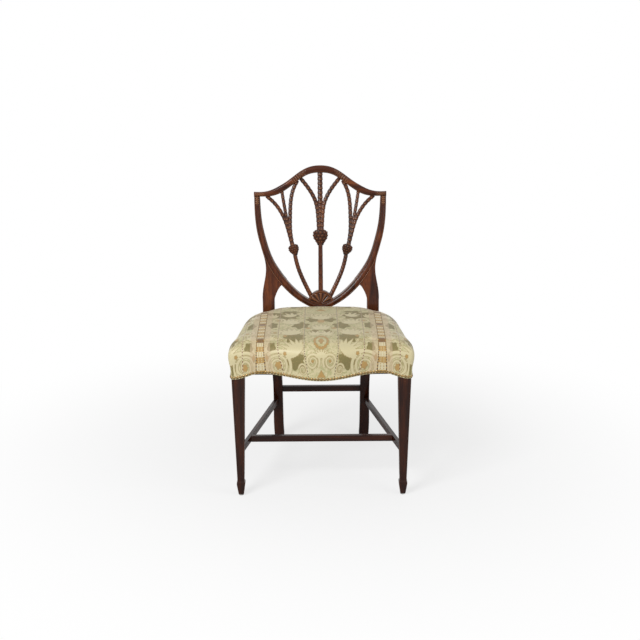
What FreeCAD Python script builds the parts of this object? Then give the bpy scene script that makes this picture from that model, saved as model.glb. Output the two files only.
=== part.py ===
import FreeCAD, Part

import math
import os

# Shield back side chair, in millimetres.
# X runs to the viewer's right when the chair faces the viewer, Y runs from the front to the back
# and Z is up. While the pieces are made, Y = 0 is the middle of the front feet and Z = 0 the floor.
# At the end everything slides along Y, so that the origin is the bottom centre of the whole chair.
# The right half of the chair (X > 0) is modelled, and the left half is its mirror image.

V = FreeCAD.Vector

# Front legs: square, tapered, with spade feet
leg_top_width = 40.0
leg_ankle_width = 21.8
spade_width = 26.5
foot_width = 17.0
front_leg_x = 252.8
ankle_height = 50.0
spade_shoulder_height = 44.0
spade_edge_height = 39.0
taper_start_drop = 10.0

# Seat frame
rail_bottom = 400.0
rail_height = 52.0
side_rail_thickness = 22.0
front_rail_thickness = 25.0
back_rail_thickness = 25.0
serpentine_swell = 34.0
serpentine_hollow = 2.0
hollow_x = 186.0
back_rail_setback = 9.0
side_rail_bow = 18.0
frame_corner_radius = 6.0

# Back posts: rear leg, post and shield side sawn from one plank
post_front_y = 414.0
post_depth = 45.0
post_inner_x = 156.0
post_outer_x = 195.0
back_foot_x = 148.5
back_foot_width = 33.0
low_leg_x = 151.8
low_leg_width = 31.5
low_leg_height = 250.0
back_foot_depth = 33.0
back_foot_kick = 65.0
bend_radius = 300.0
back_rake = 9.2
back_thickness = 22.0
post_straight_low = 393.0
post_straight_top = 515.0
waist_x = 183.0
waist_height = 620.0
spur_length = 7.0

# Shield outline
crest_top = 959.0
shield_half_width = 220.0
shield_corner_height = 874.0
shield_bottom = 484.0
stile_width_top = 18.5
stile_width_low = 24.5
base_width = 19.0
crest_end_thickness = 16.0
crest_middle_thickness = 24.0
base_joint_x = 131.0

# Splats
splat_thickness = 14.0
knob_thickness = 20.0
stem_width = 13.0
rib_width = 12.0
middle_rib_width = 14.0
centre_knob_height = 731.0
centre_knob_half_width = 25.0
side_knob_x = 90.0
side_knob_height = 687.0
side_knob_half_width = 17.5
slim_rib_width = 10.0
side_knob_lean = 18.0
lunette_radius = 43.0
lunette_thickness = 15.0

# Stretchers
stretcher_bottom = 137.0
stretcher_height = 20.0
stretcher_thickness = 15.0
side_stretcher_thickness = 12.0
cross_stretcher_y = 104.0
back_stretcher_bottom = 175.0
side_stretcher_front_x = 251.5
side_stretcher_back_x = 150.0

# Joints
tenon_thickness = 9.0
tenon_shoulder = 8.0
rail_tenon_length = 22.0
short_tenon_length = 10.0
post_tenon_shoulder = 3.5
stretcher_tenon_length = 10.0
stretcher_tenon_shoulder = 4.0
stretcher_tenon_thickness = 7.0
tongue_thickness = 6.0
tongue_length = 9.0
tongue_shoulder = 2.5
joint_fit = 0.1
tenon_end_gap = 1.0

# Corner blocks and their screws
block_leg = 62.0
block_drop = 6.0
block_height = 34.0
screw_head_radius = 4.5
screw_shank_radius = 2.2
screw_length = 38.0
screw_head_depth = 3.0

# Glides
glide_radius = 7.8
glide_height = 4.0
glide_edge = 1.6
glide_nail_radius = 1.3
glide_nail_length = 14.0

# Seat deck
webbing_thickness = 1.4
webbing_width = 50.0
webbing_pitch_x = 61.0
webbing_count_long = 5
webbing_pitch_y = 88.0
webbing_count_cross = 4
webbing_edge = 5.0
burlap_thickness = 0.8
tack_head_radius = 3.2
tack_head_height = 0.9
tack_shank_radius = 0.9
tack_length = 11.0

# Stuffing and cover
cover_thickness = 1.6
cover_clearance = 0.5
cover_hang = 1.5
cover_drop_middle = 6.0
cover_drop_leg = 9.5
cover_rise = 8.0
seat_crown = 505.0
seat_back_fall = 2.0
seat_back_roll = 13.0
seat_back_draw = 0.1
seat_bulge = 6.0
pad_clearance = 0.3
dust_cover_thickness = 0.8
dust_cover_margin = 9.0

# Brass nails along the front and the sides
nail_head_radius = 4.5
nail_head_height = 2.6
nail_shank_radius = 0.8
nail_length = 9.5
nail_pitch = 9.7
nail_above_edge = 5.0

# Worked out from the sizes above
rail_top = rail_bottom + rail_height
leg_half = leg_top_width / 2
leg_inner_x = front_leg_x - leg_half
leg_outer_x = front_leg_x + leg_half
rake_slope = math.tan(math.radians(back_rake))
kick_angle = math.atan2(back_foot_kick, rail_bottom - glide_height)
kick_tangent = bend_radius * math.tan(kick_angle / 2)
rake_tangent = bend_radius * math.tan(math.radians(back_rake) / 2)
lower_bend = rail_bottom - kick_tangent - 2.0
upper_bend = rail_top + rake_tangent + 2.0
post_back_y = post_front_y + post_depth
high = crest_top + 60.0
low = 0.5 * rail_bottom
cover_outset = cover_thickness + cover_clearance
far = 2.0 * leg_outer_x


def back_face_y(z):
    """Front face of the raked back at height z."""
    return post_front_y + rake_slope * (z - upper_bend)


def back_middle_y(z):
    """Middle of the raked back's thickness at height z."""
    return back_face_y(z) + back_thickness / 2


def box(x0, x1, y0, y1, z0, z1):
    """Rectangular block between two corners."""
    return Part.makeBox(x1 - x0, y1 - y0, z1 - z0, V(x0, y0, z0))


def mirrored(shape):
    """The same piece on the other side of the chair."""
    return shape.mirror(V(0, 0, 0), V(1, 0, 0))


def both_sides(points):
    """A half outline from the right end to the middle, and its mirror image on to the left end."""
    return points + [(-x, z) for x, z in reversed(points) if x > 0]


def smooth(points):
    """Smooth curve through points of the front view."""
    curve = Part.BSplineCurve()
    curve.interpolate([V(x, 0, z) for x, z in points])
    return curve


def line(a, b):
    """Straight edge between two points."""
    return Part.LineSegment(a, b).toShape()


def front_prism(edges):
    """Closed front view outline, carried through the whole depth of the chair."""
    face = Part.Face(Part.Wire(edges))
    face.translate(V(0, post_front_y - far, 0))
    return face.extrude(V(0, 2 * far, 0))


def plan_prism(edges, z0, z1):
    """Closed plan view outline between two heights."""
    face = Part.Face(Part.Wire(edges))
    face.translate(V(0, 0, z0))
    return face.extrude(V(0, 0, z1 - z0))


def polygon_plan_prism(points, z0, z1):
    """Straight-sided plan view outline between two heights."""
    corners = [V(x, y, 0) for x, y in points]
    return plan_prism([line(a, b) for a, b in zip(corners, corners[1:] + corners[:1])], z0, z1)


def rounded_edges(corners, radii):
    """Edges of a closed outline whose corners are rounded by arcs that touch both sides."""
    count = len(corners)
    starts = []
    ends = []
    arcs = []
    for i, corner in enumerate(corners):
        if radii[i] == 0:
            starts.append(corner)
            ends.append(corner)
            arcs.append(None)
            continue
        back = (corners[i - 1] - corner).normalize()
        ahead = (corners[(i + 1) % count] - corner).normalize()
        half_angle = back.getAngle(ahead) / 2
        reach = radii[i] / math.tan(half_angle)
        middle = (back + ahead).normalize()
        centre = corner + middle * (radii[i] / math.sin(half_angle))
        starts.append(corner + back * reach)
        ends.append(corner + ahead * reach)
        arcs.append(centre - middle * radii[i])
    edges = []
    for i in range(count):
        if arcs[i] is not None:
            edges.append(Part.Arc(starts[i], arcs[i], ends[i]).toShape())
        edges.append(line(ends[i], starts[(i + 1) % count]))
    return edges


def side_prism(edges):
    """Closed side view outline, carried across the whole width of the chair."""
    face = Part.Face(Part.Wire(edges))
    face.translate(V(-far, 0, 0))
    return face.extrude(V(2 * far, 0, 0))


def back_slab(thickness):
    """The raked board that the shield is cut from, with its faces equally far from its middle."""
    inset = (back_thickness - thickness) / 2
    low = upper_bend
    corners = [
        V(0, back_face_y(low) + inset, low),
        V(0, back_face_y(high) + inset, high),
        V(0, back_face_y(high) + inset + thickness, high),
        V(0, back_face_y(low) + inset + thickness, low),
    ]
    return side_prism([line(a, b) for a, b in zip(corners, corners[1:] + corners[:1])])


def bar(start, end, width, thickness):
    """Flat bar along a line of the front view, in the middle of the back's thickness."""
    along = V(end[0] - start[0], 0, end[1] - start[1]).normalize()
    across = V(-along.z, 0, along.x) * (width / 2)
    first = V(start[0], 0, start[1])
    last = V(end[0], 0, end[1])
    corners = [first - across, last - across, last + across, first + across]
    middle = back_middle_y((start[1] + end[1]) / 2)
    face = Part.Face(Part.Wire([line(a, b) for a, b in zip(corners, corners[1:] + corners[:1])]))
    face.translate(V(0, middle - thickness / 2, 0))
    return face.extrude(V(0, thickness, 0))


def tongue(end, direction):
    """Tongue past a member's end, and the wider and deeper pocket that takes it."""
    root = (end[0] - direction[0] * tongue_length, end[1] - direction[1] * tongue_length)
    tip = (end[0] + direction[0] * tongue_length, end[1] + direction[1] * tongue_length)
    reach = tongue_length + tenon_end_gap
    deep = (end[0] + direction[0] * reach, end[1] + direction[1] * reach)
    width = rib_width - 2 * tongue_shoulder
    fit = 2 * joint_fit
    return bar(root, tip, width, tongue_thickness), bar(root, deep, width + fit, tongue_thickness + fit)


def pocket_for(x0, x1, y0, y1, z0, z1, axis):
    """Pocket for a straight tenon: a little wider than it, and deeper by the end gap."""
    wide = [joint_fit] * 3
    wide[axis] = tenon_end_gap
    return box(x0 - wide[0], x1 + wide[0], y0 - wide[1], y1 + wide[1], z0 - wide[2], z1 + wide[2])


def largest(shape):
    """The biggest solid of a shape, where a cut has left crumbs."""
    return max(shape.Solids, key=lambda solid: solid.Volume)


def drilled(shape, tools):
    """The shape less each of the tools."""
    return shape.cut(Part.makeCompound(tools))


def joined(shape, pieces):
    """The shape with the pieces grown into it."""
    return shape.fuse(pieces).removeSplitter()


# Shield curves: shares of the half width and of the height from the bottom to the corner
shield_shape = [(1.0, 1.0), (0.994, 0.86), (0.973, 0.71), (0.925, 0.58), (0.855, 0.445),
                (0.742, 0.317), (0.558, 0.187), (0.37, 0.092), (0.2, 0.034), (0.0, 0.0)]


def shield_point(share_x, share_z):
    """Point of the shield's outer curve."""
    return shield_half_width * share_x, shield_bottom + (shield_corner_height - shield_bottom) * share_z


shield_curve = smooth(both_sides([shield_point(*share) for share in shield_shape]))


def offset_points(curve, start, end, width_of, count):
    """Points beside a curve between two of its parameters, at a width that may vary."""
    points = []
    for i in range(count + 1):
        parameter = start + (end - start) * i / count
        point = curve.value(parameter)
        tangent = curve.tangent(parameter)[0]
        width = width_of(point)
        points.append((point.x + tangent.z * width, point.z - tangent.x * width))
    return points


def parameter_at_x(curve, x, start, end):
    """Parameter where a curve passes a given X, found by halving the interval."""
    for _ in range(50):
        middle = (start + end) / 2
        if curve.value(middle).x > x:
            start = middle
        else:
            end = middle
    return start


def stile_width(point):
    """Width of the shield's side and bottom: slim at the corner, widest at the shoulder."""
    share = (point.z - shield_bottom) / (shield_corner_height - shield_bottom)
    if share > 0.3:
        return stile_width_low + (stile_width_top - stile_width_low) * (share - 0.3) / 0.7
    return base_width + (stile_width_low - base_width) * share / 0.3


curve_start = shield_curve.FirstParameter
curve_middle = parameter_at_x(shield_curve, 0.0, curve_start, shield_curve.LastParameter)
joint_parameter = parameter_at_x(shield_curve, base_joint_x, curve_start, curve_middle)
joint_outer = shield_curve.value(joint_parameter)
joint_tangent = shield_curve.tangent(joint_parameter)[0]
joint_normal = V(joint_tangent.z, 0, -joint_tangent.x)
joint_width = stile_width(joint_outer)
joint_inner = joint_outer + joint_normal * joint_width
joint_middle = joint_outer + joint_normal * (joint_width / 2)

# Crest curves, from the corner to the middle: distance from the middle, and height
crest_rise = crest_top - shield_corner_height
crest_shape = [(1.0, 0.0), (0.855, 0.0), (0.732, 0.075), (0.623, 0.21), (0.5, 0.4), (0.4, 0.59),
               (0.27, 0.82), (0.145, 0.955), (0.0, 1.0)]
crest_upper = [(shield_half_width * x, shield_corner_height + crest_rise * z) for x, z in crest_shape]
crest_joint_height = shield_corner_height - crest_end_thickness
crest_underside = crest_top - crest_middle_thickness - crest_joint_height
under_shape = [(1.0, 0.0), (0.85, 0.005), (0.69, 0.1), (0.56, 0.29), (0.37, 0.65), (0.2, 0.92),
               (0.0, 1.0)]


def stile_inner_x(z):
    """Inner edge of the shield's side at a height, found on the outer curve."""
    start = curve_start
    end = curve_middle
    for _ in range(50):
        middle = (start + end) / 2
        if shield_curve.value(middle).z > z:
            start = middle
        else:
            end = middle
    point = shield_curve.value(start)
    tangent = shield_curve.tangent(start)[0]
    return point.x + tangent.z * stile_width(point)


crest_inner_x = stile_inner_x(crest_joint_height)
crest_lower = [(crest_inner_x * x, crest_joint_height + crest_underside * z) for x, z in under_shape]


def crest_blank():
    """The crest rail before its pockets: an arched band with square shoulders on the shield's sides."""
    outer_x = shield_half_width
    top = smooth(both_sides(crest_upper)).toShape()
    under = smooth(both_sides(crest_lower)).toShape()
    right = [V(outer_x, 0, shield_corner_height), V(outer_x, 0, crest_joint_height),
             V(crest_inner_x, 0, crest_joint_height)]
    left = [V(-point.x, 0, point.z) for point in right]
    edges = [top, line(left[0], left[1]), line(left[1], left[2]), under,
             line(right[2], right[1]), line(right[1], right[0])]
    return front_prism(Part.__sortEdges__(edges)).common(back_slab(back_thickness))


def base_blank():
    """The shield's lower rail: the bottom of the band, between the joints on the two posts."""
    end_parameter = shield_curve.LastParameter + curve_start - joint_parameter
    outer_points = offset_points(shield_curve, joint_parameter, end_parameter, lambda point: 0.0, 12)
    inner_points = offset_points(shield_curve, joint_parameter, end_parameter, stile_width, 12)
    outer = smooth(outer_points).toShape()
    inner = smooth(inner_points).toShape()
    right = line(outer.Vertexes[0].Point, inner.Vertexes[0].Point)
    left = line(outer.Vertexes[-1].Point, inner.Vertexes[-1].Point)
    edges = Part.__sortEdges__([outer, left, inner, right])
    return front_prism(edges).common(back_slab(back_thickness))


def leg_line(foot_x, low_x, post_x):
    """Side of the rear leg in the front view: nearly upright, then curving out to the post."""
    points = [(foot_x, glide_height), (0.5 * (foot_x + low_x), 0.5 * low_leg_height), (low_x, low_leg_height)]
    for share in (0.2, 0.4, 0.6, 0.8, 1.0):
        ease = share * share * (3.0 - 2.0 * share)
        points.append((low_x + (post_x - low_x) * ease,
                       low_leg_height + (post_straight_low - low_leg_height) * share))
    return points


def post_blank():
    """The right back post: its side view and its front view, sawn from one plank."""
    foot = glide_height
    top = crest_joint_height
    meet = upper_bend + (post_depth - back_thickness) / rake_slope
    corners = [
        V(0, post_front_y + back_foot_kick, foot),
        V(0, post_front_y, lower_bend),
        V(0, post_front_y, upper_bend),
        V(0, back_face_y(top + 60), top + 60),
        V(0, back_face_y(top + 60) + back_thickness, top + 60),
        V(0, post_back_y, meet),
        V(0, post_back_y, lower_bend),
        V(0, post_front_y + back_foot_kick + back_foot_depth, foot),
    ]
    bends = [0, bend_radius, bend_radius, 0, 0, bend_radius, bend_radius, 0]
    side = side_prism(rounded_edges(corners, bends))
    foot_inner = back_foot_x - back_foot_width / 2
    foot_outer = back_foot_x + back_foot_width / 2
    upper = [point for point in [shield_point(*share) for share in shield_shape]
             if waist_height + 25 < point[1] < top - 10]
    outer_x = shield_half_width * 0.9965
    outer = smooth([(post_outer_x, post_straight_top), (0.5 * (post_outer_x + waist_x) + 1.5,
                   0.5 * (post_straight_top + waist_height)), (waist_x, waist_height)]
                   + upper[::-1] + [(outer_x, top)])
    stile_inside = offset_points(shield_curve, curve_start, joint_parameter, stile_width, 14)
    inner_points = [point for point in stile_inside if point[1] < top - 8]
    inner = smooth([(crest_inner_x, top)] + inner_points)
    spur = joint_outer - joint_normal * spur_length
    spur_curve = smooth([(spur.x, spur.z), (0.35 * spur.x + 0.65 * post_inner_x,
                         0.5 * spur.z + 0.5 * post_straight_top), (post_inner_x, post_straight_top)])
    edges = [
        line(V(foot_inner, 0, foot), V(foot_outer, 0, foot)),
        smooth(leg_line(foot_outer, low_leg_x + low_leg_width / 2, post_outer_x)).toShape(),
        line(V(post_outer_x, 0, post_straight_low), V(post_outer_x, 0, post_straight_top)),
        outer.toShape(),
        line(V(outer_x, 0, top), V(crest_inner_x, 0, top)),
        inner.toShape(),
        line(joint_inner, spur),
        spur_curve.toShape(),
        line(V(post_inner_x, 0, post_straight_top), V(post_inner_x, 0, post_straight_low)),
        smooth(leg_line(foot_inner, low_leg_x - low_leg_width / 2, post_inner_x)).toShape(),
    ]
    return front_prism(Part.__sortEdges__(edges)).common(side)


def rib(path, start_width, end_width):
    """Flat rib along a smooth line, as wide at its ends as stated and evenly in between."""
    curve = smooth(path)
    first = curve.FirstParameter
    last = curve.LastParameter
    sides = ([], [])
    steps = 2 * len(path)
    for i in range(steps + 1):
        share = i / steps
        parameter = first + share * (last - first)
        point = curve.value(parameter)
        tangent = curve.tangent(parameter)[0]
        half = (start_width + (end_width - start_width) * share) / 2
        sides[0].append((point.x - tangent.z * half, point.z + tangent.x * half))
        sides[1].append((point.x + tangent.z * half, point.z - tangent.x * half))
    left = smooth(sides[0]).toShape()
    right = smooth(sides[1]).toShape()
    edges = [left, line(left.Vertexes[-1].Point, right.Vertexes[-1].Point), right,
             line(right.Vertexes[0].Point, left.Vertexes[0].Point)]
    return front_prism(Part.__sortEdges__(edges))


def end_direction(path):
    """Direction in which a path ends."""
    dx = path[-1][0] - path[-2][0]
    dz = path[-1][1] - path[-2][1]
    length = math.hypot(dx, dz)
    return dx / length, dz / length


def knob(x, z, half_width, lean):
    """Carved bud: widest above its middle, drawn in to the stem below, leaning by an angle."""
    shape = [(0.5, 0.55), (0.92, 0.3), (1.0, 0.02), (0.7, -0.5), (0.34, -1.05)]
    right = [(half_width * a, half_width * b) for a, b in shape]
    points = [V(a, 0, b) for a, b in right] + [V(-a, 0, b) for a, b in right[::-1]]
    curve = Part.BSplineCurve()
    curve.interpolate(points[:len(right)])
    other = Part.BSplineCurve()
    other.interpolate(points[len(right):])
    edges = [curve.toShape(), line(points[len(right) - 1], points[len(right)]), other.toShape(),
             line(points[-1], points[0])]
    body = front_prism(Part.__sortEdges__(edges))
    body.rotate(V(0, 0, 0), V(0, 1, 0), lean)
    body.translate(V(x, 0, z))
    return body.common(back_slab(knob_thickness))


# Rib lines of the centre splat: from the bud up to the crest, and down to the lunette
lunette_top = shield_bottom + base_width + lunette_radius
crest_under_middle = crest_top - crest_middle_thickness
centre_stem = [(0.0, lunette_top - 4.0), (0.0, (lunette_top + centre_knob_height) / 2),
               (0.0, centre_knob_height)]
centre_rib = [(0.0, centre_knob_height), (0.0, crest_under_middle - 60.0), (0.0, crest_under_middle)]
centre_side_rib = [(4.5, centre_knob_height + 8.0), (7.0, 788.0), (15.5, 841.0), (30.0, 871.0),
                   (46.0, 894.0), (61.0, 913.0)]

# Rib lines of the right splat
side_stem = [(32.0, 528.0), (55.5, 574.8), (79.0, 636.0), (side_knob_x, side_knob_height)]
side_inner_rib = [(side_knob_x + 2.0, side_knob_height + 4.0), (99.5, 735.0), (100.5, 798.0),
                  (96.0, 856.0), (86.5, 888.0), (76.5, 907.0)]
side_middle_rib = [(103.5, 745.0), (112.0, 785.0), (119.0, 823.0), (124.0, 853.0), (127.5, 875.0)]
side_outer_rib = [(side_knob_x + 4.0, side_knob_height + 8.0), (105.0, 738.0), (120.0, 785.0),
                  (136.0, 815.0), (156.0, 840.0), (176.0, 857.0)]


def splat(stem, ribs, bud):
    """One splat in one board: its stem, its bud and its ribs, with a tongue at each end."""
    board = back_slab(splat_thickness)
    pieces = [bud] + [rib(path, wide, narrow).common(board) for path, wide, narrow in ribs]
    body = rib(stem, stem_width, stem_width).common(board).fuse(pieces)
    body = largest(drilled(body, [crest, lunette]))
    tongues = []
    crest_pockets = []
    for path, _, _ in ribs:
        tenon, pocket = tongue(path[-1], end_direction(path))
        tongues.append(tenon)
        crest_pockets.append(pocket)
    foot, foot_pocket = tongue(stem[0], end_direction(stem[::-1]))
    return joined(body, tongues + [foot]), crest_pockets, foot_pocket


def lunette_blank(base):
    """Half round fan that stands on the shield's lower rail."""
    centre = V(0, post_front_y - far, shield_bottom + base_width)
    disc = Part.makeCylinder(lunette_radius, 2 * far, centre, V(0, 1, 0))
    return largest(disc.common(back_slab(lunette_thickness)).cut(base).common(
        box(-far, far, -far, far, shield_bottom + base_width - 2.0, high)))


def frustum(x, y, low_width, low_z, high_width, high_z):
    """Square block about an upright line, whose width changes evenly from its bottom to its top."""
    rings = []
    for width, z in ((low_width, low_z), (high_width, high_z)):
        half = width / 2
        rings.append([V(x - half, y - half, z), V(x + half, y - half, z), V(x + half, y + half, z),
                      V(x - half, y + half, z)])
    low, top = rings
    faces = [Part.Face(Part.makePolygon(ring + ring[:1])) for ring in rings]
    for i in range(4):
        j = (i + 1) % 4
        faces.append(Part.Face(Part.makePolygon([low[i], low[j], top[j], top[i], low[i]])))
    return Part.makeSolid(Part.makeShell(faces))


def front_leg_blank():
    """The right front leg before its mortises."""
    sections = [(foot_width, glide_height), (spade_width, spade_edge_height),
                (spade_width, spade_shoulder_height), (leg_ankle_width, ankle_height),
                (leg_top_width, rail_bottom - taper_start_drop), (leg_top_width, rail_top)]
    blocks = [frustum(front_leg_x, 0.0, *lower, *upper) for lower, upper in zip(sections, sections[1:])]
    return blocks[0].fuse(blocks[1:]).removeSplitter()


def serpentine_y(x):
    """Front face of the front rail at a distance x from the middle of the chair."""
    share = min(abs(x) / hollow_x, 1.0)
    swell = serpentine_swell * math.cos(share * math.pi / 2) ** 2
    past = max(abs(x) - hollow_x, 0.0) / (leg_inner_x - hollow_x)
    return serpentine_hollow - leg_half - swell - serpentine_hollow * past


def cover_edge_front(x):
    """Lower edge of the cover along the front, at a distance x from the middle."""
    level = rail_bottom - cover_hang
    if abs(x) < hollow_x:
        rise = math.sin(abs(x) / hollow_x * math.pi / 2) ** 2
        return level - cover_drop_middle + (cover_drop_middle + cover_rise) * rise
    share = min((abs(x) - hollow_x) / (leg_outer_x - leg_half / 2 - hollow_x), 1.0)
    fall = share * share * (3.0 - 2.0 * share)
    return level + cover_rise - (cover_rise + cover_drop_leg) * fall


def cover_edge_side(y):
    """Lower edge of the cover along the sides, at a depth y."""
    share = min(max((y + leg_half / 2) / (2.0 * leg_half), 0.0), 1.0)
    rise = share * share * (3.0 - 2.0 * share)
    return rail_bottom - cover_hang - cover_drop_leg * (1.0 - rise)


def cover_edge(x, y):
    """Lower edge of the cover at a point of its outline."""
    return cover_edge_front(x) if y < -leg_half / 2 else cover_edge_side(y)


side_rail_slope = (leg_outer_x - post_outer_x) / (post_front_y - leg_half)


def side_outer_x(y):
    """Outer face of the right side rail at a depth y: straight in front, full towards the back."""
    share = (y - leg_half) / (post_front_y - leg_half)
    bow = side_rail_bow * math.sin(math.pi * min(max(share, 0.0), 1.0) ** 2)
    return leg_outer_x - side_rail_slope * (y - leg_half) + bow


back_rail_back_y = post_back_y - back_rail_setback
back_rail_front_y = back_rail_back_y - back_rail_thickness


def frame_outline():
    """Plan outline of the seat frame's outer faces, as one smooth closed curve."""
    half = [(leg_inner_x * i / 6.0, serpentine_y(leg_inner_x * i / 6.0)) for i in range(7)]
    half.append((front_leg_x, -leg_half))
    corner_x = leg_outer_x - frame_corner_radius
    corner_y = frame_corner_radius - leg_half
    for i in range(5):
        angle = i * math.pi / 8
        half.append((corner_x + frame_corner_radius * math.sin(angle),
                     corner_y - frame_corner_radius * math.cos(angle)))
    half.append((leg_outer_x, leg_half / 2))
    for share in (0.0, 0.15, 0.3, 0.45, 0.6, 0.72, 0.84, 0.93, 1.0):
        y = leg_half + share * (post_front_y - leg_half)
        half.append((side_outer_x(y), y))
    half += [(0.5 * (post_inner_x + post_outer_x) + 4.0, post_front_y + 26.0),
             (post_inner_x - 4.0, back_rail_back_y - 1.0), (0.8 * post_inner_x, back_rail_back_y),
             (0.4 * post_inner_x, back_rail_back_y), (0.0, back_rail_back_y)]
    full = half + [(-x, y) for x, y in half[-2:0:-1]]
    curve = Part.BSplineCurve()
    curve.interpolate(Points=[V(x, y, 0) for x, y in full], PeriodicFlag=True)
    inner = [curve.parameter(V(x, y, 0)) for x, y in full[1:]]
    return curve, [curve.FirstParameter] + inner + [curve.LastParameter]


frame_curve, frame_parameters = frame_outline()


def frame_points(outset):
    """Points of the frame's outline, moved outward by an even distance."""
    points = []
    for parameter in frame_parameters[:-1]:
        point = frame_curve.value(parameter)
        tangent = frame_curve.tangent(parameter)[0]
        points.append((point.x + tangent.y * outset, point.y - tangent.x * outset))
    return points


def frame_plan(outset, z0, z1):
    """Solid between two heights inside the frame's outline, moved outward by a distance."""
    curve = Part.BSplineCurve()
    curve.interpolate(Points=[V(x, y, 0) for x, y in frame_points(outset)], PeriodicFlag=True)
    return plan_prism([curve.toShape()], z0, z1)


frame_solid = frame_plan(0.0, low, rail_top)


def front_rail_blank():
    """Serpentine front rail between the legs, arched along its lower edge."""
    bottom = rail_bottom - cover_drop_middle
    points = [(leg_inner_x * i / 8.0, serpentine_y(leg_inner_x * i / 8.0)) for i in range(9)]
    inner_face = plan_curve(both_sides([(x, y + front_rail_thickness) for x, y in points[::-1]]))
    ends = [vertex.Point for vertex in inner_face.Vertexes]
    front = [V(end.x, -far, 0) for end in ends]
    edges = [inner_face, line(ends[0], front[0]), line(front[0], front[1]), line(front[1], ends[1])]
    slab = plan_prism(Part.__sortEdges__(edges), bottom, rail_top).common(frame_solid)
    arch_points = both_sides([(leg_inner_x * i / 12.0, cover_edge_front(leg_inner_x * i / 12.0) + cover_hang)
                              for i in range(12, -1, -1)])
    arch = smooth(arch_points).toShape()
    low_ends = [V(vertex.X, 0, low) for vertex in arch.Vertexes]
    edges = [arch, line(arch.Vertexes[0].Point, low_ends[0]), line(low_ends[0], low_ends[1]),
             line(low_ends[1], arch.Vertexes[1].Point)]
    return slab.cut(front_prism(Part.__sortEdges__(edges)))


def plan_curve(points):
    """Smooth curve through points of the plan view."""
    curve = Part.BSplineCurve()
    curve.interpolate([V(x, y, 0) for x, y in points])
    return curve.toShape()


def side_rail_blank():
    """Right side rail between the front leg and the back post: straight inside and bowed outside."""
    front = leg_half
    back = post_front_y
    points = [(far, front), (far, back), (side_outer_x(back) - side_rail_width_x, back),
              (side_outer_x(front) - side_rail_width_x, front)]
    return polygon_plan_prism(points, rail_bottom, rail_top).common(frame_solid)


side_rail_width_x = side_rail_thickness * math.hypot(1.0, side_rail_slope)


def corner_block(corner, reach, towards_y, neighbours):
    """Triangular block glued into a corner of the frame, fitted to what it meets there."""
    x, y = corner
    low = rail_top - block_drop - block_height
    triangle = [(x, y), (x - reach, y), (x, y + towards_y * reach)]
    return largest(drilled(polygon_plan_prism(triangle, low, rail_top - block_drop), neighbours))


def corner_screw_start(corner, reach, towards_y, aim):
    """Point of the block's long face that lies straight in front of the middle of its leg."""
    depth = (reach - (corner[0] - aim[0]) - abs(aim[1] - corner[1])) / 2
    return aim[0] - depth, aim[1] + towards_y * depth


def screw(x, y, z, direction):
    """Countersunk wood screw whose head lies flush at a point, driven along a direction."""
    axis = V(*direction).normalize()
    start = V(x, y, z)
    head = Part.makeCone(screw_head_radius, screw_shank_radius, screw_head_depth, start, axis)
    shank_start = start + axis * screw_head_depth
    shank = Part.makeCylinder(screw_shank_radius, screw_length - screw_head_depth, shank_start, axis)
    return head.fuse(shank).removeSplitter()


def glide(x, y):
    """Domed steel glide with the nail that holds it in the foot."""
    nail_top = glide_height + glide_nail_length
    outline = [
        line(V(0, 0, 0), V(glide_radius - glide_edge, 0, 0)),
        Part.Arc(V(glide_radius - glide_edge, 0, 0),
                 V(glide_radius - glide_edge * 0.293, 0, glide_edge * 0.293),
                 V(glide_radius, 0, glide_edge)).toShape(),
        line(V(glide_radius, 0, glide_edge), V(glide_radius, 0, glide_height)),
        line(V(glide_radius, 0, glide_height), V(glide_nail_radius, 0, glide_height)),
        line(V(glide_nail_radius, 0, glide_height), V(glide_nail_radius, 0, nail_top)),
        line(V(glide_nail_radius, 0, nail_top), V(0, 0, nail_top)),
        line(V(0, 0, nail_top), V(0, 0, 0)),
    ]
    body = Part.Face(Part.Wire(outline)).revolve(V(0, 0, 0), V(0, 0, 1), 360)
    body = Part.makeSolid(Part.makeShell(body.Faces)) if body.ShapeType != "Solid" else body
    body.translate(V(x, y, 0))
    return body


def glide_hole(x, y):
    """Hole in a foot for the glide's nail."""
    radius = glide_nail_radius + joint_fit
    return Part.makeCylinder(radius, glide_nail_length + tenon_end_gap, V(x, y, glide_height), V(0, 0, 1))


def seat_curve(outset, scale, z, fall, rounding, roll):
    """Closed seat outline: moved outward, drawn in towards the middle, falling and rolled over at the back."""
    middle_y = (post_front_y - leg_half) / 2
    points = []
    for x, y in frame_points(outset):
        squareness = min(abs(x) / leg_outer_x, 1.0) * min(abs(y - middle_y) / (middle_y + leg_half), 1.0)
        near = scale * (1.0 - rounding * squareness ** 4)
        behind = max((y - middle_y) / (back_rail_back_y - middle_y), 0.0) ** 3
        new_y = middle_y + (y - middle_y) * near * (1.0 - seat_back_draw * roll * behind)
        level = z - fall * (new_y + leg_half) / post_front_y - seat_back_roll * roll * behind
        points.append(V(x * near, new_y, level))
    curve = Part.BSplineCurve()
    curve.interpolate(Points=points, PeriodicFlag=True, Parameters=frame_parameters)
    return curve


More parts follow.
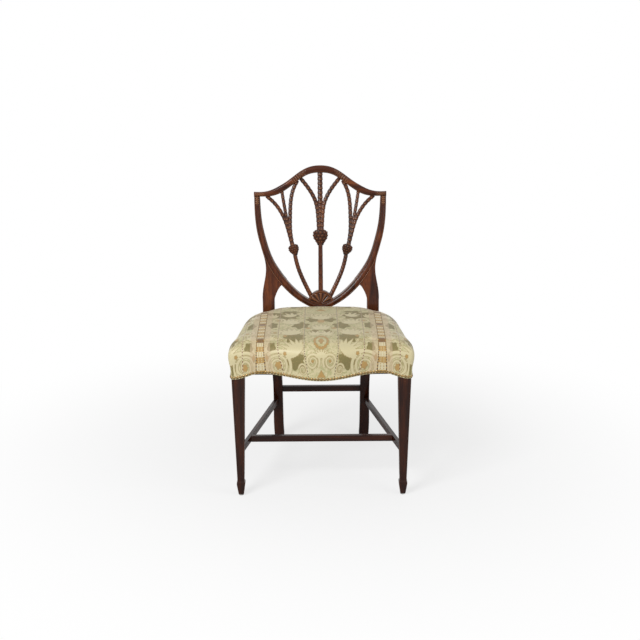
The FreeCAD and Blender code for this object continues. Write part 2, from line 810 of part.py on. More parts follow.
def skin_solid(curves):
    """Solid under a smooth skin through closed curves that share their parameters, with flat ends."""
    rows = [curve.getPoles() for curve in curves]
    heights = [0.0]
    for lower, upper in zip(rows, rows[1:]):
        heights.append(heights[-1] + lower[0].distanceToPoint(upper[0]))
    profiles = []
    for column in zip(*rows):
        profile = Part.BSplineCurve()
        profile.interpolate(Points=list(column), Parameters=heights)
        profiles.append(profile)
    first = profiles[0]
    skin = Part.BSplineSurface()
    skin.buildFromPolesMultsKnots([profile.getPoles() for profile in profiles], curves[0].getMultiplicities(),
                                  first.getMultiplicities(), curves[0].getKnots(), first.getKnots(),
                                  True, False, curves[0].Degree, first.Degree)
    ends = [Part.Face(Part.Wire(curve.toShape())) for curve in (curves[0], curves[-1])]
    shell = Part.makeShell([skin.toShape()] + ends)
    shell.sewShape()
    return Part.makeSolid(Part.Shell(shell.Faces))


def seat_form(outset, bottom):
    """Crowned seat: its outline at several heights, fullest above the rails, rounded over to the crown."""
    crown = seat_crown - cover_outset + outset
    rise = crown - rail_top
    levels = [(0.0, 1.0, bottom, 0.0, 0.0, 0.0), (0.0, 1.0, rail_bottom, 0.0, 0.0, 0.0),
              (0.1, 1.0, rail_bottom + 0.4 * rail_height, 0.0, 0.0, 0.0),
              (1.0, 1.0, rail_top + 0.15 * rise, 0.2, 0.0, 0.1),
              (0.8, 0.994, rail_top + 0.5 * rise, 0.6, 0.01, 0.4),
              (0.0, 0.955, rail_top + 0.78 * rise, 0.8, 0.04, 1.0),
              (0.0, 0.84, rail_top + 0.93 * rise, 1.0, 0.07, 0.5),
              (0.0, 0.55, crown, 1.0, 0.1, 0.0)]
    return skin_solid([seat_curve(outset + share * seat_bulge, scale, z, fall * seat_back_fall, rounding, roll)
                       for share, scale, z, fall, rounding, roll in levels])


def below_cover_edge():
    """Everything under the cover's lower edge: a wave along the front, a gentle rise along the sides."""
    reach = leg_outer_x + 4.0 * seat_bulge
    count = 24
    front_line = both_sides([(reach * i / count, cover_edge_front(reach * i / count))
                             for i in range(count, -1, -1)])
    front_curve = smooth(front_line).toShape()
    ends = [vertex.Point for vertex in front_curve.Vertexes]
    feet = [V(end.x, 0, low) for end in ends]
    edges = [front_curve, line(ends[0], feet[0]), line(feet[0], feet[1]), line(feet[1], ends[1])]
    front = front_prism(Part.__sortEdges__(edges)).common(box(-far, far, -far, -leg_half / 2, low, rail_top))
    side_curve = Part.BSplineCurve()
    ys = [-leg_half / 2 + 2.0 * leg_half * i / 8.0 for i in range(9)]
    side_curve.interpolate([V(0, y, cover_edge_side(y)) for y in ys])
    level = cover_edge_side(far)
    corners = [V(0, ys[-1], level), V(0, far, level), V(0, far, low), V(0, ys[0], low),
               V(0, ys[0], cover_edge_side(ys[0]))]
    edges = [side_curve.toShape()] + [line(a, b) for a, b in zip(corners, corners[1:])]
    return [front, side_prism(Part.__sortEdges__(edges))]


def tilted(shape, x, y, z, direction):
    """A shape made along +Z, turned to point along a direction and moved to a point."""
    turned = shape.copy()
    turned.Placement = FreeCAD.Placement(V(x, y, z), FreeCAD.Rotation(V(0, 0, 1), V(*direction)))
    return turned


def nail_head():
    """Domed brass head on a round shank; the head's underside is at Z = 0 and the shank points up."""
    ball = (nail_head_radius ** 2 + nail_head_height ** 2) / (2 * nail_head_height)
    dome = Part.makeSphere(ball, V(0, 0, ball - nail_head_height))
    dome = dome.common(box(-far, far, -far, far, -nail_head_height - 1.0, 0.0))
    return dome


def nail_places():
    """Points and inward directions of the nails, with one nail at the middle of each front corner."""
    nail_curve = Part.BSplineCurve()
    nail_curve.interpolate(Points=[V(x, y, 0) for x, y in frame_points(cover_outset)], PeriodicFlag=True)
    first = nail_curve.FirstParameter
    corner_reach = (cover_outset + frame_corner_radius) * math.sqrt(0.5)
    corner_point = V(leg_outer_x - frame_corner_radius + corner_reach,
                     frame_corner_radius - leg_half - corner_reach, 0)
    to_corner = nail_curve.length(first, nail_curve.parameter(corner_point))
    last_point = V(side_outer_x(post_front_y - 2 * nail_head_radius) + cover_outset,
                   post_front_y - 2 * nail_head_radius, 0)
    to_last = nail_curve.length(first, nail_curve.parameter(last_point))
    front_count = int(to_corner / nail_pitch + 0.5)
    side_count = int((to_last - to_corner) / nail_pitch + 0.5)
    distances = [to_corner * i / front_count for i in range(front_count + 1)]
    distances += [to_corner + (to_last - to_corner) * (i + 1) / side_count for i in range(side_count)]
    places = []
    for distance in distances:
        parameter = nail_curve.parameterAtDistance(distance, first)
        point = nail_curve.value(parameter)
        tangent = nail_curve.tangent(parameter)[0]
        z = cover_edge(point.x, point.y) + nail_above_edge
        places.append((V(point.x, point.y, z), V(-tangent.y, tangent.x, 0)))
        if point.x > nail_head_radius:
            places.append((V(-point.x, point.y, z), V(tangent.y, tangent.x, 0)))
    return places


def tack(x, y, z):
    """Upholsterer's tack, driven down, with its flat head on the webbing."""
    head = Part.makeCylinder(tack_head_radius, tack_head_height, V(x, y, z))
    shank = Part.makeCylinder(tack_shank_radius, tack_length, V(x, y, z - tack_length))
    return head.fuse(shank).removeSplitter()


def long_strap(x):
    """Webbing strap from the front rail to the back rail."""
    front = serpentine_y(x) + webbing_edge
    back = back_rail_back_y - webbing_edge
    half = webbing_width / 2
    strap = box(x - half, x + half, front, back, rail_top, rail_top + webbing_thickness)
    return strap


def cross_strap(y, parity):
    """Webbing strap from side rail to side rail, woven over and under the long straps."""
    reach = min(side_outer_x(y), side_outer_x(y + webbing_width / 2)) - webbing_edge
    middle = (webbing_count_long - 1) / 2
    half = webbing_width / 2
    level = rail_top
    path = [(-reach, level)]
    for i in range(webbing_count_long):
        x = (i - middle) * webbing_pitch_x
        shift = webbing_thickness if (i + parity) % 2 == 0 else -webbing_thickness
        path += [(x - half - 2.0, level + shift), (x + half + 2.0, level + shift)]
    path.append((reach, level))
    path.insert(1, (path[1][0] - 14.0, level))
    path.insert(-1, (path[-2][0] + 14.0, level))
    upper = [(x, z + webbing_thickness) for x, z in reversed(path)]
    corners = [V(x, y - half, z) for x, z in path + upper]
    face = Part.Face(Part.makePolygon(corners + corners[:1]))
    return face.extrude(V(0, webbing_width, 0))


def screw_hole(x, y, z, direction):
    """Clearance hole for a screw, with its countersink."""
    axis = V(*direction).normalize()
    start = V(x, y, z)
    wide = joint_fit
    head = Part.makeCone(screw_head_radius + wide, screw_shank_radius + wide, screw_head_depth, start, axis)
    reach = screw_length + tenon_end_gap
    shank = Part.makeCylinder(screw_shank_radius + wide, reach, start, axis)
    mouth = Part.makeCylinder(screw_head_radius + wide, reach, start - axis * reach, axis)
    return head.fuse([shank, mouth])


parts = {}


def add_pair(name, shape):
    """A right-hand piece and its mirror image on the left."""
    parts["right_" + name] = shape
    parts["left_" + name] = mirrored(shape)


# Blanks: the pieces before their joints are cut
corner_low = rail_bottom - cover_hang - cover_drop_leg
round_x = leg_outer_x - frame_corner_radius
round_y = frame_corner_radius - leg_half
corner_waste = box(round_x, far, -far, round_y, corner_low, rail_top + 1.0).cut(
    Part.makeCylinder(frame_corner_radius, rail_height * 2, V(round_x, round_y, corner_low)))
crest = crest_blank()
base = base_blank()
lunette = lunette_blank(base)
post = post_blank()
leg = front_leg_blank().cut(corner_waste)
front_rail = front_rail_blank()
side_rail = side_rail_blank()
back_rail = box(-post_inner_x, post_inner_x, back_rail_front_y, back_rail_back_y, rail_bottom, rail_top)
back_rail = back_rail.common(frame_solid)
leg_cuts = []
post_cuts = []

# Splats: the centre one is symmetrical, and the left one mirrors the right one
centre_bud = knob(0.0, centre_knob_height, centre_knob_half_width, 0.0)
side_bud = knob(side_knob_x, side_knob_height, side_knob_half_width, side_knob_lean)
mirrored_rib = [(-x, z) for x, z in centre_side_rib]
centre_ribs = [(centre_rib, middle_rib_width, middle_rib_width), (centre_side_rib, rib_width, rib_width),
               (mirrored_rib, rib_width, rib_width)]
side_ribs = [(side_inner_rib, rib_width, rib_width), (side_middle_rib, slim_rib_width, slim_rib_width),
             (side_outer_rib, slim_rib_width, rib_width)]
centre_splat, centre_pockets, centre_foot = splat(centre_stem, centre_ribs, centre_bud)
side_splat, side_pockets, side_foot = splat(side_stem, side_ribs, side_bud)
parts["centre_splat"] = centre_splat
add_pair("splat", side_splat)

# Crest rail: it takes the splats' tongues from below, and a tenon on the top of each post
tenon_x = (shield_half_width + crest_inner_x) / 2
tenon_half = (shield_half_width - crest_inner_x) / 2 - post_tenon_shoulder
tenon_y = back_middle_y(crest_joint_height)
post_tenon = (tenon_x - tenon_half, tenon_x + tenon_half, tenon_y - tongue_thickness / 2,
              tenon_y + tongue_thickness / 2, crest_joint_height - 2.0,
              shield_corner_height - 2 * tongue_shoulder)
post_pocket = pocket_for(*post_tenon, 2)
crest_pockets = centre_pockets + side_pockets + [mirrored(pocket) for pocket in side_pockets]
parts["crest_rail"] = drilled(crest, crest_pockets + [post_pocket, mirrored(post_pocket)])

# Lunette: a tenon stands in the base rail, and the three stems stand in the lunette
lunette_seat = shield_bottom + base_width
lunette_y = back_middle_y(lunette_seat)
lunette_tenon = (-lunette_radius / 2, lunette_radius / 2, lunette_y - tongue_thickness / 2,
                 lunette_y + tongue_thickness / 2, lunette_seat - tongue_length, lunette_seat + 4.0)
lunette_pocket = pocket_for(*lunette_tenon, 2)
lunette_body = joined(lunette, [box(*lunette_tenon)])
parts["lunette"] = drilled(lunette_body, [centre_foot, side_foot, mirrored(side_foot)])

# Base rail: a tenon at each end, in line with the band, goes into the posts
base_tenon_width = joint_width - 4 * tongue_shoulder
along = joint_tangent * -1.0
start = joint_middle - along * tongue_length
end = joint_middle + along * tongue_length
deep = joint_middle + along * (tongue_length + tenon_end_gap)
base_tenon = bar((start.x, start.z), (end.x, end.z), base_tenon_width, tongue_thickness)
base_pocket = bar((start.x, start.z), (deep.x, deep.z), base_tenon_width + 2 * joint_fit,
                  tongue_thickness + 2 * joint_fit)
base_body = joined(base, [base_tenon, mirrored(base_tenon)])
parts["shield_base_rail"] = drilled(base_body, [lunette_pocket])
post_cuts.append(base_pocket)

# Seat rails: tenons into the front legs and the back posts
tenon_low = rail_bottom + tenon_shoulder
tenon_high = rail_top - tenon_shoulder
half_tenon = tenon_thickness / 2
front_tenon_y = serpentine_y(leg_inner_x) + front_rail_thickness / 2
front_tenon = (leg_inner_x - 2.0, leg_inner_x + rail_tenon_length, front_tenon_y - half_tenon,
               front_tenon_y + half_tenon, tenon_low, tenon_high)
side_front_x = side_outer_x(leg_half) - side_rail_width_x / 2 + 1.0
side_front_tenon = (side_front_x - half_tenon, side_front_x + half_tenon, leg_half - rail_tenon_length,
                    leg_half + 2.0, tenon_low, tenon_high)
side_back_x = side_outer_x(post_front_y) - side_rail_width_x / 2
side_back_tenon = (side_back_x - half_tenon, side_back_x + half_tenon, post_front_y - 2.0,
                   post_front_y + short_tenon_length, tenon_low, tenon_high)
back_tenon_y = (back_rail_front_y + back_rail_back_y) / 2
back_tenon = (post_inner_x - 2.0, post_inner_x + rail_tenon_length, back_tenon_y - half_tenon,
              back_tenon_y + half_tenon, tenon_low, tenon_high)
front_rail_body = joined(front_rail, [box(*front_tenon), mirrored(box(*front_tenon))])
side_rail_body = joined(side_rail, [box(*side_front_tenon), box(*side_back_tenon)])
back_rail_body = joined(back_rail, [box(*back_tenon), mirrored(box(*back_tenon))])
leg_cuts += [pocket_for(*front_tenon, 0), pocket_for(*side_front_tenon, 1)]
post_cuts += [pocket_for(*side_back_tenon, 1), pocket_for(*back_tenon, 0)]


def post_y(z):
    """Front face of the rear leg at a height below the seat."""
    return post_front_y + back_foot_kick * (lower_bend - z) / (lower_bend - glide_height)


# Side stretchers: from the front legs to the rear legs, shouldered against both
stretcher_top = stretcher_bottom + stretcher_height
half_stretcher = stretcher_thickness / 2
half_side = side_stretcher_thickness / 2
half_slim = stretcher_tenon_thickness / 2
stretcher_back_y = post_y(stretcher_bottom) + back_foot_depth / 2
side_stretcher_line = [(side_stretcher_front_x, 0.0), (side_stretcher_back_x, stretcher_back_y)]
corners = [(x + half_side, y) for x, y in side_stretcher_line]
corners += [(x - half_side, y) for x, y in side_stretcher_line[::-1]]
side_stretcher_blank = polygon_plan_prism(corners, stretcher_bottom, stretcher_top)
side_stretcher = largest(drilled(side_stretcher_blank, [leg, post]))
slim_low = stretcher_bottom + stretcher_tenon_shoulder
slim_high = stretcher_top - stretcher_tenon_shoulder
leg_back = leg.common(box(0, far, 0, far, stretcher_bottom, stretcher_top)).BoundBox.YMax
post_near = post_y(stretcher_top)
side_front_slim = (side_stretcher_front_x - half_slim - 2.0, side_stretcher_front_x + half_slim - 2.0,
                   leg_back - stretcher_tenon_length, leg_back + 6.0, slim_low, slim_high)
side_back_slim = (side_stretcher_back_x - half_slim + 1.0, side_stretcher_back_x + half_slim + 1.0,
                  post_near - 4.0, post_near + stretcher_tenon_length + 4.0, slim_low, slim_high)
leg_cuts.append(pocket_for(*side_front_slim, 1))
post_cuts.append(pocket_for(*side_back_slim, 1))

# Cross stretcher: between the side stretchers
cross_end_x = side_stretcher_front_x
cross_end_x -= (side_stretcher_front_x - side_stretcher_back_x) * cross_stretcher_y / stretcher_back_y
cross_blank = box(-cross_end_x, cross_end_x, cross_stretcher_y - half_stretcher,
                  cross_stretcher_y + half_stretcher, stretcher_bottom, stretcher_top)
cross = largest(drilled(cross_blank, [side_stretcher_blank, mirrored(side_stretcher_blank)]))
cross_slim = (cross_end_x - half_side - 6.0, cross_end_x + half_side - 3.0,
              cross_stretcher_y - half_slim, cross_stretcher_y + half_slim, slim_low, slim_high)
parts["cross_stretcher"] = joined(cross, [box(*cross_slim), mirrored(box(*cross_slim))])
side_stretcher = joined(side_stretcher, [box(*side_front_slim), box(*side_back_slim)])
add_pair("side_stretcher", drilled(side_stretcher, [pocket_for(*cross_slim, 0)]))

# Back stretcher: between the rear legs, higher than the others
back_stretcher_top = back_stretcher_bottom + stretcher_height
back_stretcher_y = post_y(back_stretcher_bottom) + (post_depth + back_foot_depth) / 4
back_blank = box(-back_foot_x, back_foot_x, back_stretcher_y - half_stretcher,
                 back_stretcher_y + half_stretcher, back_stretcher_bottom, back_stretcher_top)
back_stretcher = largest(drilled(back_blank, [post, mirrored(post)]))
back_shoulder_x = back_stretcher.BoundBox.XMax
back_slim = (back_shoulder_x - 8.0, back_shoulder_x + stretcher_tenon_length, back_stretcher_y - half_slim,
             back_stretcher_y + half_slim, back_stretcher_bottom + stretcher_tenon_shoulder,
             back_stretcher_top - stretcher_tenon_shoulder)
parts["back_stretcher"] = joined(back_stretcher, [box(*back_slim), mirrored(box(*back_slim))])
post_cuts.append(pocket_for(*back_slim, 0))

# Corner blocks: glued in the corners of the frame, each with a screw into its leg
screw_z = rail_top - block_drop - block_height / 2
front_corner = (front_leg_x, -leg_half)
front_reach = block_leg + leg_top_width
front_block = corner_block(front_corner, front_reach, 1.0, [front_rail, side_rail, leg])
front_start = corner_screw_start(front_corner, front_reach, 1.0, (front_leg_x, 0.0))
front_screw_at = (front_start[0], front_start[1], screw_z, (1.0, -1.0, 0.0))
back_corner = (post_outer_x, back_rail_back_y)
back_reach = block_leg + post_depth
back_block = corner_block(back_corner, back_reach, -1.0, [back_rail, side_rail, post])
post_middle = ((post_inner_x + post_outer_x) / 2, post_front_y + post_depth / 2)
back_start = corner_screw_start(back_corner, back_reach, -1.0, post_middle)
back_screw_at = (back_start[0], back_start[1], screw_z, (1.0, 1.0, 0.0))
add_pair("front_corner_block", drilled(front_block, [screw_hole(*front_screw_at)]))
add_pair("back_corner_block", drilled(back_block, [screw_hole(*back_screw_at)]))
screws = [screw(*front_screw_at), screw(*back_screw_at)]
parts["corner_block_screws"] = Part.makeCompound(screws + [mirrored(one) for one in screws])
leg_cuts.append(screw_hole(*front_screw_at))
post_cuts.append(screw_hole(*back_screw_at))

# Glides under the four feet
back_foot_y = post_front_y + back_foot_kick + back_foot_depth / 2
feet = [(front_leg_x, 0.0), (back_foot_x, back_foot_y)]
glides = [glide(x, y) for x, y in feet]
parts["glides"] = Part.makeCompound(glides + [mirrored(one) for one in glides])
leg_cuts.append(glide_hole(*feet[0]))
post_cuts.append(glide_hole(*feet[1]))

# Brass nails through the cover into the rails and the front legs
nails = []
shanks = []
head_shape = nail_head()
for point, inward in nail_places():
    nails.append(tilted(head_shape, point.x, point.y, point.z, inward))
    shanks.append(Part.makeCylinder(nail_shank_radius, nail_length, point, inward))
nail_holes = Part.makeCompound(shanks)
parts["brass_nails"] = Part.makeCompound([head.fuse(shank) for head, shank in zip(nails, shanks)])

# Webbing: long straps under, cross straps woven through them, all tacked to the rails
middle = (webbing_count_long - 1) / 2
long_xs = [(i - middle) * webbing_pitch_x for i in range(webbing_count_long)]
seat_middle_y = (leg_half + back_rail_front_y) / 2
middle = (webbing_count_cross - 1) / 2
cross_ys = [seat_middle_y + (i - middle) * webbing_pitch_y for i in range(webbing_count_cross)]
long_straps = [long_strap(x) for x in long_xs]
cross_straps = [cross_strap(y, i) for i, y in enumerate(cross_ys)]
tacks = []
tack_inset = webbing_edge + 2 * tack_head_radius
for x in long_xs:
    for shift in (-webbing_width / 3, webbing_width / 3):
        tacks.append(tack(x + shift, serpentine_y(x + shift) + tack_inset, rail_top + webbing_thickness))
        tacks.append(tack(x + shift, back_rail_back_y - tack_inset, rail_top + webbing_thickness))
for y in cross_ys:
    for shift in (-webbing_width / 3, webbing_width / 3):
        x = min(side_outer_x(y), side_outer_x(y + webbing_width / 2)) - tack_inset
        tacks.append(tack(x, y + shift, rail_top + webbing_thickness))
        tacks.append(tack(-x, y + shift, rail_top + webbing_thickness))
tack_group = Part.makeCompound(tacks)
parts["webbing_long"] = Part.makeCompound([strap.cut(tack_group) for strap in long_straps])
parts["webbing_cross"] = Part.makeCompound([strap.cut(tack_group) for strap in cross_straps])
parts["webbing_tacks"] = tack_group

# The frame's pieces with all their mortises and holes
dust_rebate = frame_plan(-dust_cover_margin, low, rail_bottom)
parts["front_rail"] = drilled(front_rail_body, [nail_holes, tack_group, dust_rebate])
add_pair("side_rail", drilled(side_rail_body, [nail_holes, tack_group]))
parts["back_rail"] = drilled(back_rail_body, [tack_group])
add_pair("front_leg", drilled(leg, leg_cuts + [nail_holes]))
add_pair("back_post", drilled(joined(post, [box(*post_tenon)]), post_cuts))

# Burlap over the webbing, the stuffed pad, and the damask cover drawn over the rails
beside_post = box(post_inner_x - pad_clearance, far, post_front_y - pad_clearance, far, low, high)
beside_posts = [beside_post, mirrored(beside_post)]
deck = rail_top + 2 * webbing_thickness + tack_head_height
parts["burlap"] = largest(drilled(frame_plan(-webbing_edge, deck, deck + burlap_thickness), beside_posts))
pad_form = seat_form(0.0, rail_bottom - rail_height)
above_deck = box(-far, far, -far, far, deck + burlap_thickness, high)
parts["stuffed_pad"] = largest(drilled(pad_form.common(above_deck), beside_posts))
cover_start = rail_bottom - rail_height
cover = seat_form(cover_outset, cover_start).cut(seat_form(cover_clearance, cover_start))
parts["seat_cover"] = largest(drilled(cover, beside_posts + below_cover_edge()))
legs = [leg, mirrored(leg)]
dust_cover = frame_plan(-dust_cover_margin, rail_bottom - dust_cover_thickness, rail_bottom)
parts["dust_cover"] = largest(drilled(dust_cover, beside_posts + legs))

# The origin is the bottom centre of the whole chair: everything slides along Y
everything = Part.makeCompound(list(parts.values()))
bounds = everything.optimalBoundingBox()
slide = V(0, -(bounds.YMin + bounds.YMax) / 2, 0)
os.makedirs("parts", exist_ok=True)
for name, shape in parts.items():
    shape.translate(slide)
    shape.exportStep("parts/" + name + ".step")
size = (round(bounds.XLength, 1), round(bounds.YLength, 1), round(bounds.ZMax, 1))
print(len(parts), "pieces, overall size", size)
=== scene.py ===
# %% [markdown]
# # A shield back side chair
#
# The joiner's drawing of this chair is already packed as a frame: every piece of wood, the rails under the
# cloth, the nails and the glides, each at its real size. This lesson dresses that frame. It rounds and
# carves the mahogany, draws a silk damask over the stuffed seat, and lights the chair in a plain studio.
# Meshes are in metres and share the frame's place, so nothing has to be fitted by eye.

# %% Load the frame
import math

import bmesh
import bpy
import numpy as np
from mathutils import Matrix, Vector


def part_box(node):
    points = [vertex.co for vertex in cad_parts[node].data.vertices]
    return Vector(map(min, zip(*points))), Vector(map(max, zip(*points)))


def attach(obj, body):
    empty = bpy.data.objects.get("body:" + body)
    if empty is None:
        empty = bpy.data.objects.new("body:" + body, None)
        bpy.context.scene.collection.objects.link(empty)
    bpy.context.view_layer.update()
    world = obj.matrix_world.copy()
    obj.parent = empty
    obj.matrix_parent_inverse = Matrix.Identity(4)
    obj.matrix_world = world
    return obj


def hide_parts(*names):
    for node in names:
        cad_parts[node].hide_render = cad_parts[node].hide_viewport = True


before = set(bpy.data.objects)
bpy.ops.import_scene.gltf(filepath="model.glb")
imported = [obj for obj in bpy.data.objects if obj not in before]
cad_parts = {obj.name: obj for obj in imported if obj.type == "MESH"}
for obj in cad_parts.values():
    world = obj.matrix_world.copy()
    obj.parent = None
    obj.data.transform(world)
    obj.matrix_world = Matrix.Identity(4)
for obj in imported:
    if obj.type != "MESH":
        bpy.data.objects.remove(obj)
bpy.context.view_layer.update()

bpy.context.scene.view_settings.view_transform = "Standard"
print("nodes in the frame:", len(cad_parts))

# %% [markdown]
# ## Where the camera stood
#
# The picture of the real chair was taken from a little above the crest, a few steps in front of it. A
# camera can be placed by eye, but then every later comparison drifts. Here the place was worked out from
# the chair's own feet and corners, so it is written as a distance from the front feet, a height, a tilt
# and a very small roll.

# %% Place the camera
MM = 0.001
leg_low, leg_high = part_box("right_front_leg")
front_line = 0.5 * (leg_low[1] + leg_high[1])
camera_distance = 3.3356
camera_height = 1.5398
camera_aside = -0.0031
camera_tilt = math.radians(16.2407)
camera_roll = math.radians(0.3679)
picture_side = 640.0
focal_pixels = 1158.3245
sensor_width = 36.0


def put_in_scene(name, data):
    """An object with the data, linked into the scene."""
    made = bpy.data.objects.new(name, data)
    bpy.context.collection.objects.link(made)
    return made


camera_data = bpy.data.cameras.new("camera")
camera_data.sensor_width = sensor_width
camera_data.lens = sensor_width * focal_pixels / picture_side
camera_data.clip_end = 50.0
camera = put_in_scene("camera", camera_data)
camera.matrix_world = (
    Matrix.Translation((camera_aside, front_line - camera_distance, camera_height))
    @ Matrix.Rotation(math.pi / 2 - camera_tilt, 4, "X")
    @ Matrix.Rotation(-camera_roll, 4, "Z")
)
bpy.context.scene.camera = camera
print("lens", round(camera_data.lens, 2), "mm, front feet at y", round(float(front_line), 4))

# %% [markdown]
# ## Surfaces from two numbers
#
# A carved chair is hard to push and pull out of boxes. It is easier to say a shape as a formula: one number
# runs along the piece, another runs round it, and numpy works out every point at once. The helpers below
# put such a grid of points into a mesh, close its ends, and turn its faces outward.

# %% Put a grid of points into a mesh
def grid_faces(rows, columns):
    """Four-cornered faces between neighbours of a grid whose columns are joined round."""
    i = np.arange(rows - 1)[:, None] * columns
    j = np.arange(columns)[None, :]
    beside = (j + 1) % columns
    return np.stack([i + j, i + beside, i + columns + beside, i + columns + j], axis=-1).reshape(-1, 4)


def signed_volume(points, faces):
    """Sum of the little pyramids from the middle to each face: negative when the faces point inward."""
    centred = points - points.mean(axis=0)
    a, b, c, d = (centred[faces[:, k]] for k in range(4))
    return float(np.sum(a * (np.cross(b, c) + np.cross(c, d)))) / 6.0


def joined(x, y, z):
    """Points from their three numbers, each of them spread over the whole grid."""
    return np.stack(np.broadcast_arrays(x, y, z), axis=-1)


def with_ends(values):
    """Rows of values with the first and the last row given twice, for the two end rings of a tube."""
    return np.concatenate([values[:1], values, values[-1:]])


def smooth(mesh, material, crease):
    """Give a mesh its material and smooth shading that breaks at edges sharper than the crease."""
    mesh.polygons.foreach_set("use_smooth", np.ones(len(mesh.polygons), dtype=bool))
    mesh.set_sharp_from_angle(angle=math.radians(crease))
    mesh.materials.append(material)


def tube_surface(name, grid, material, values=None, crease=35.0, end_share=0.3):
    """Closed piece from rings of points: each row of the grid is one ring, and each end is a small ring
    inside the last one, filled flat. values holds named numbers for the grid points, for materials."""
    rows, columns = grid.shape[:2]
    middles = grid[[0, -1]].mean(axis=1, keepdims=True)
    near, far = middles + end_share * (grid[[0, -1]] - middles)
    points = np.concatenate([near[None], grid, far[None]]).reshape(-1, 3)
    faces = grid_faces(rows + 2, columns)
    low_end = list(range(columns))[::-1]
    high_end = list(range((rows + 1) * columns, (rows + 2) * columns))
    polygons = faces.tolist() + [low_end, high_end]
    if signed_volume(points, faces) < 0:
        polygons = [polygon[::-1] for polygon in polygons]
    mesh = bpy.data.meshes.new(name)
    mesh.from_pydata(points.tolist(), [], polygons)
    smooth(mesh, material, crease)
    for key, numbers in (values or {}).items():
        layer = mesh.attributes.new(key, "FLOAT", "POINT")
        numbers = with_ends(np.broadcast_to(numbers, (rows, columns)))
        layer.data.foreach_set("value", numbers.astype(np.float32).ravel())
    return put_in_scene(name, mesh)


def dress(made, slot, *nodes):
    """Let a piece ride on the chair's one body and stand for nodes of the frame. The slot is not used."""
    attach(made, "root")
    if nodes:
        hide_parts(*nodes)


# %% [markdown]
# ## Smooth lines
#
# The chair's outlines are flowing curves drawn through a few points, as a joiner bends a thin lath round
# pins. Straight runs between many points would show as corners. A cubic line through few points, whose
# bend changes evenly, does what the lath does, and is then divided into equal steps of length.

# %% A bent lath through points
def lengths(line):
    """Length of the way along a line up to each of its points."""
    return np.r_[0.0, np.cumsum(np.linalg.norm(np.diff(line, axis=0), axis=1))]


def curve_through(points, count):
    """Natural cubic line through the points: between two pins each coordinate is a cubic whose second
    derivative runs evenly from one pin's bend to the next pin's. Returns count points, evenly spaced."""
    pins = np.asarray(points, dtype=float)
    number = len(pins)
    where = lengths(pins)
    step = np.diff(where)
    system = np.eye(number)
    wanted = np.zeros_like(pins)
    inner = np.arange(1, number - 1)
    system[inner, inner - 1] = step[:-1]
    system[inner, inner] = 2.0 * (step[:-1] + step[1:])
    system[inner, inner + 1] = step[1:]
    wanted[1:-1] = 6.0 * np.diff(np.diff(pins, axis=0) / step[:, None], axis=0)
    bend = np.linalg.solve(system, wanted)
    fine = np.linspace(0.0, where[-1], 60 * number)
    k = np.clip(np.searchsorted(where, fine, side="right") - 1, 0, number - 2)
    before = ((where[k + 1] - fine) / step[k])[:, None]
    after = 1.0 - before
    bent = (before**3 - before) * bend[k] + (after**3 - after) * bend[k + 1]
    line = before * pins[k] + after * pins[k + 1] + bent * (step[k] ** 2)[:, None] / 6.0
    length = lengths(line)
    even = np.linspace(0.0, length[-1], count)
    return np.stack([np.interp(even, length, part) for part in line.T], axis=1)


def side_normals(line):
    """Unit vectors at right angles to a line of the front view, to the left of its direction."""
    along = np.gradient(line, axis=0)
    along /= np.linalg.norm(along, axis=1)[:, None]
    return np.stack([-along[:, 1], along[:, 0]], axis=1)


mirror = np.array([-1.0, 1.0])


def half_outline(shares, half_width, low, high):
    """Right half of an outline, from shares of its half width and of the way from low to high."""
    share_x, share_z = np.array(shares).T
    return np.stack([half_width * share_x, low + (high - low) * share_z], axis=1)


def both_sides(half):
    """A right half up to the middle, and its mirror picture back to the left end."""
    return np.concatenate([half, (half * mirror)[-2::-1]])


# %% Small shapes that carving is made of
def unit(x):
    """The value, held between zero and one."""
    return np.clip(x, 0.0, 1.0)


def full_turn(count):
    """Even angles once round, for the points of a ring."""
    return np.linspace(0.0, 2.0 * np.pi, count, endpoint=False)


def bump(x, middle, half_width):
    """Smooth hill of height one: a raised cosine round the middle, and zero outside its half width."""
    return 0.5 + 0.5 * np.cos(np.pi * unit(np.abs(x - middle) / half_width))


def arch(x, middle, half_width, power=2):
    """Hill 1 - |t|^power, with t the distance from the middle in half widths. Its root is a round bead."""
    return unit(1.0 - ((x - middle) / half_width) ** power)


def squared(wave, power):
    """A sine or cosine drawn towards a square wave: its sign times its size to the power."""
    return np.sign(wave) * np.abs(wave) ** power


def eased(share):
    """Smooth step from zero to one: 3 share^2 - 2 share^3."""
    return share**2 * (3.0 - 2.0 * share)


# %% [markdown]
# ## The raked back
#
# The whole shield lies in one board that leans back above the seat. Every outline of it is therefore drawn
# flat, as width and height, and one function puts it on the leaning face. A third number says how far a
# point stands proud of that face, which is what carving changes.

# %% Put flat drawings on the leaning back
rake = math.radians(9.2)
bend_height = 478.14 * MM
back_front = front_line + 414.0 * MM
back_thickness = 22.0 * MM


def on_back(x, z, proud):
    """Point of the back: the leaning face at that height, moved out of the face by proud metres."""
    face_y = back_front + math.tan(rake) * (z - bend_height)
    return joined(x, face_y - proud * math.cos(rake), z + proud * math.sin(rake))


def rings_along(line, normal, reach, proud):
    """Rings along a line of the back: each point lies off the line by its reach and proud of the face."""
    return on_back(line[:, :1] + normal[:, :1] * reach, line[:, 1:] + normal[:, 1:] * reach, proud)
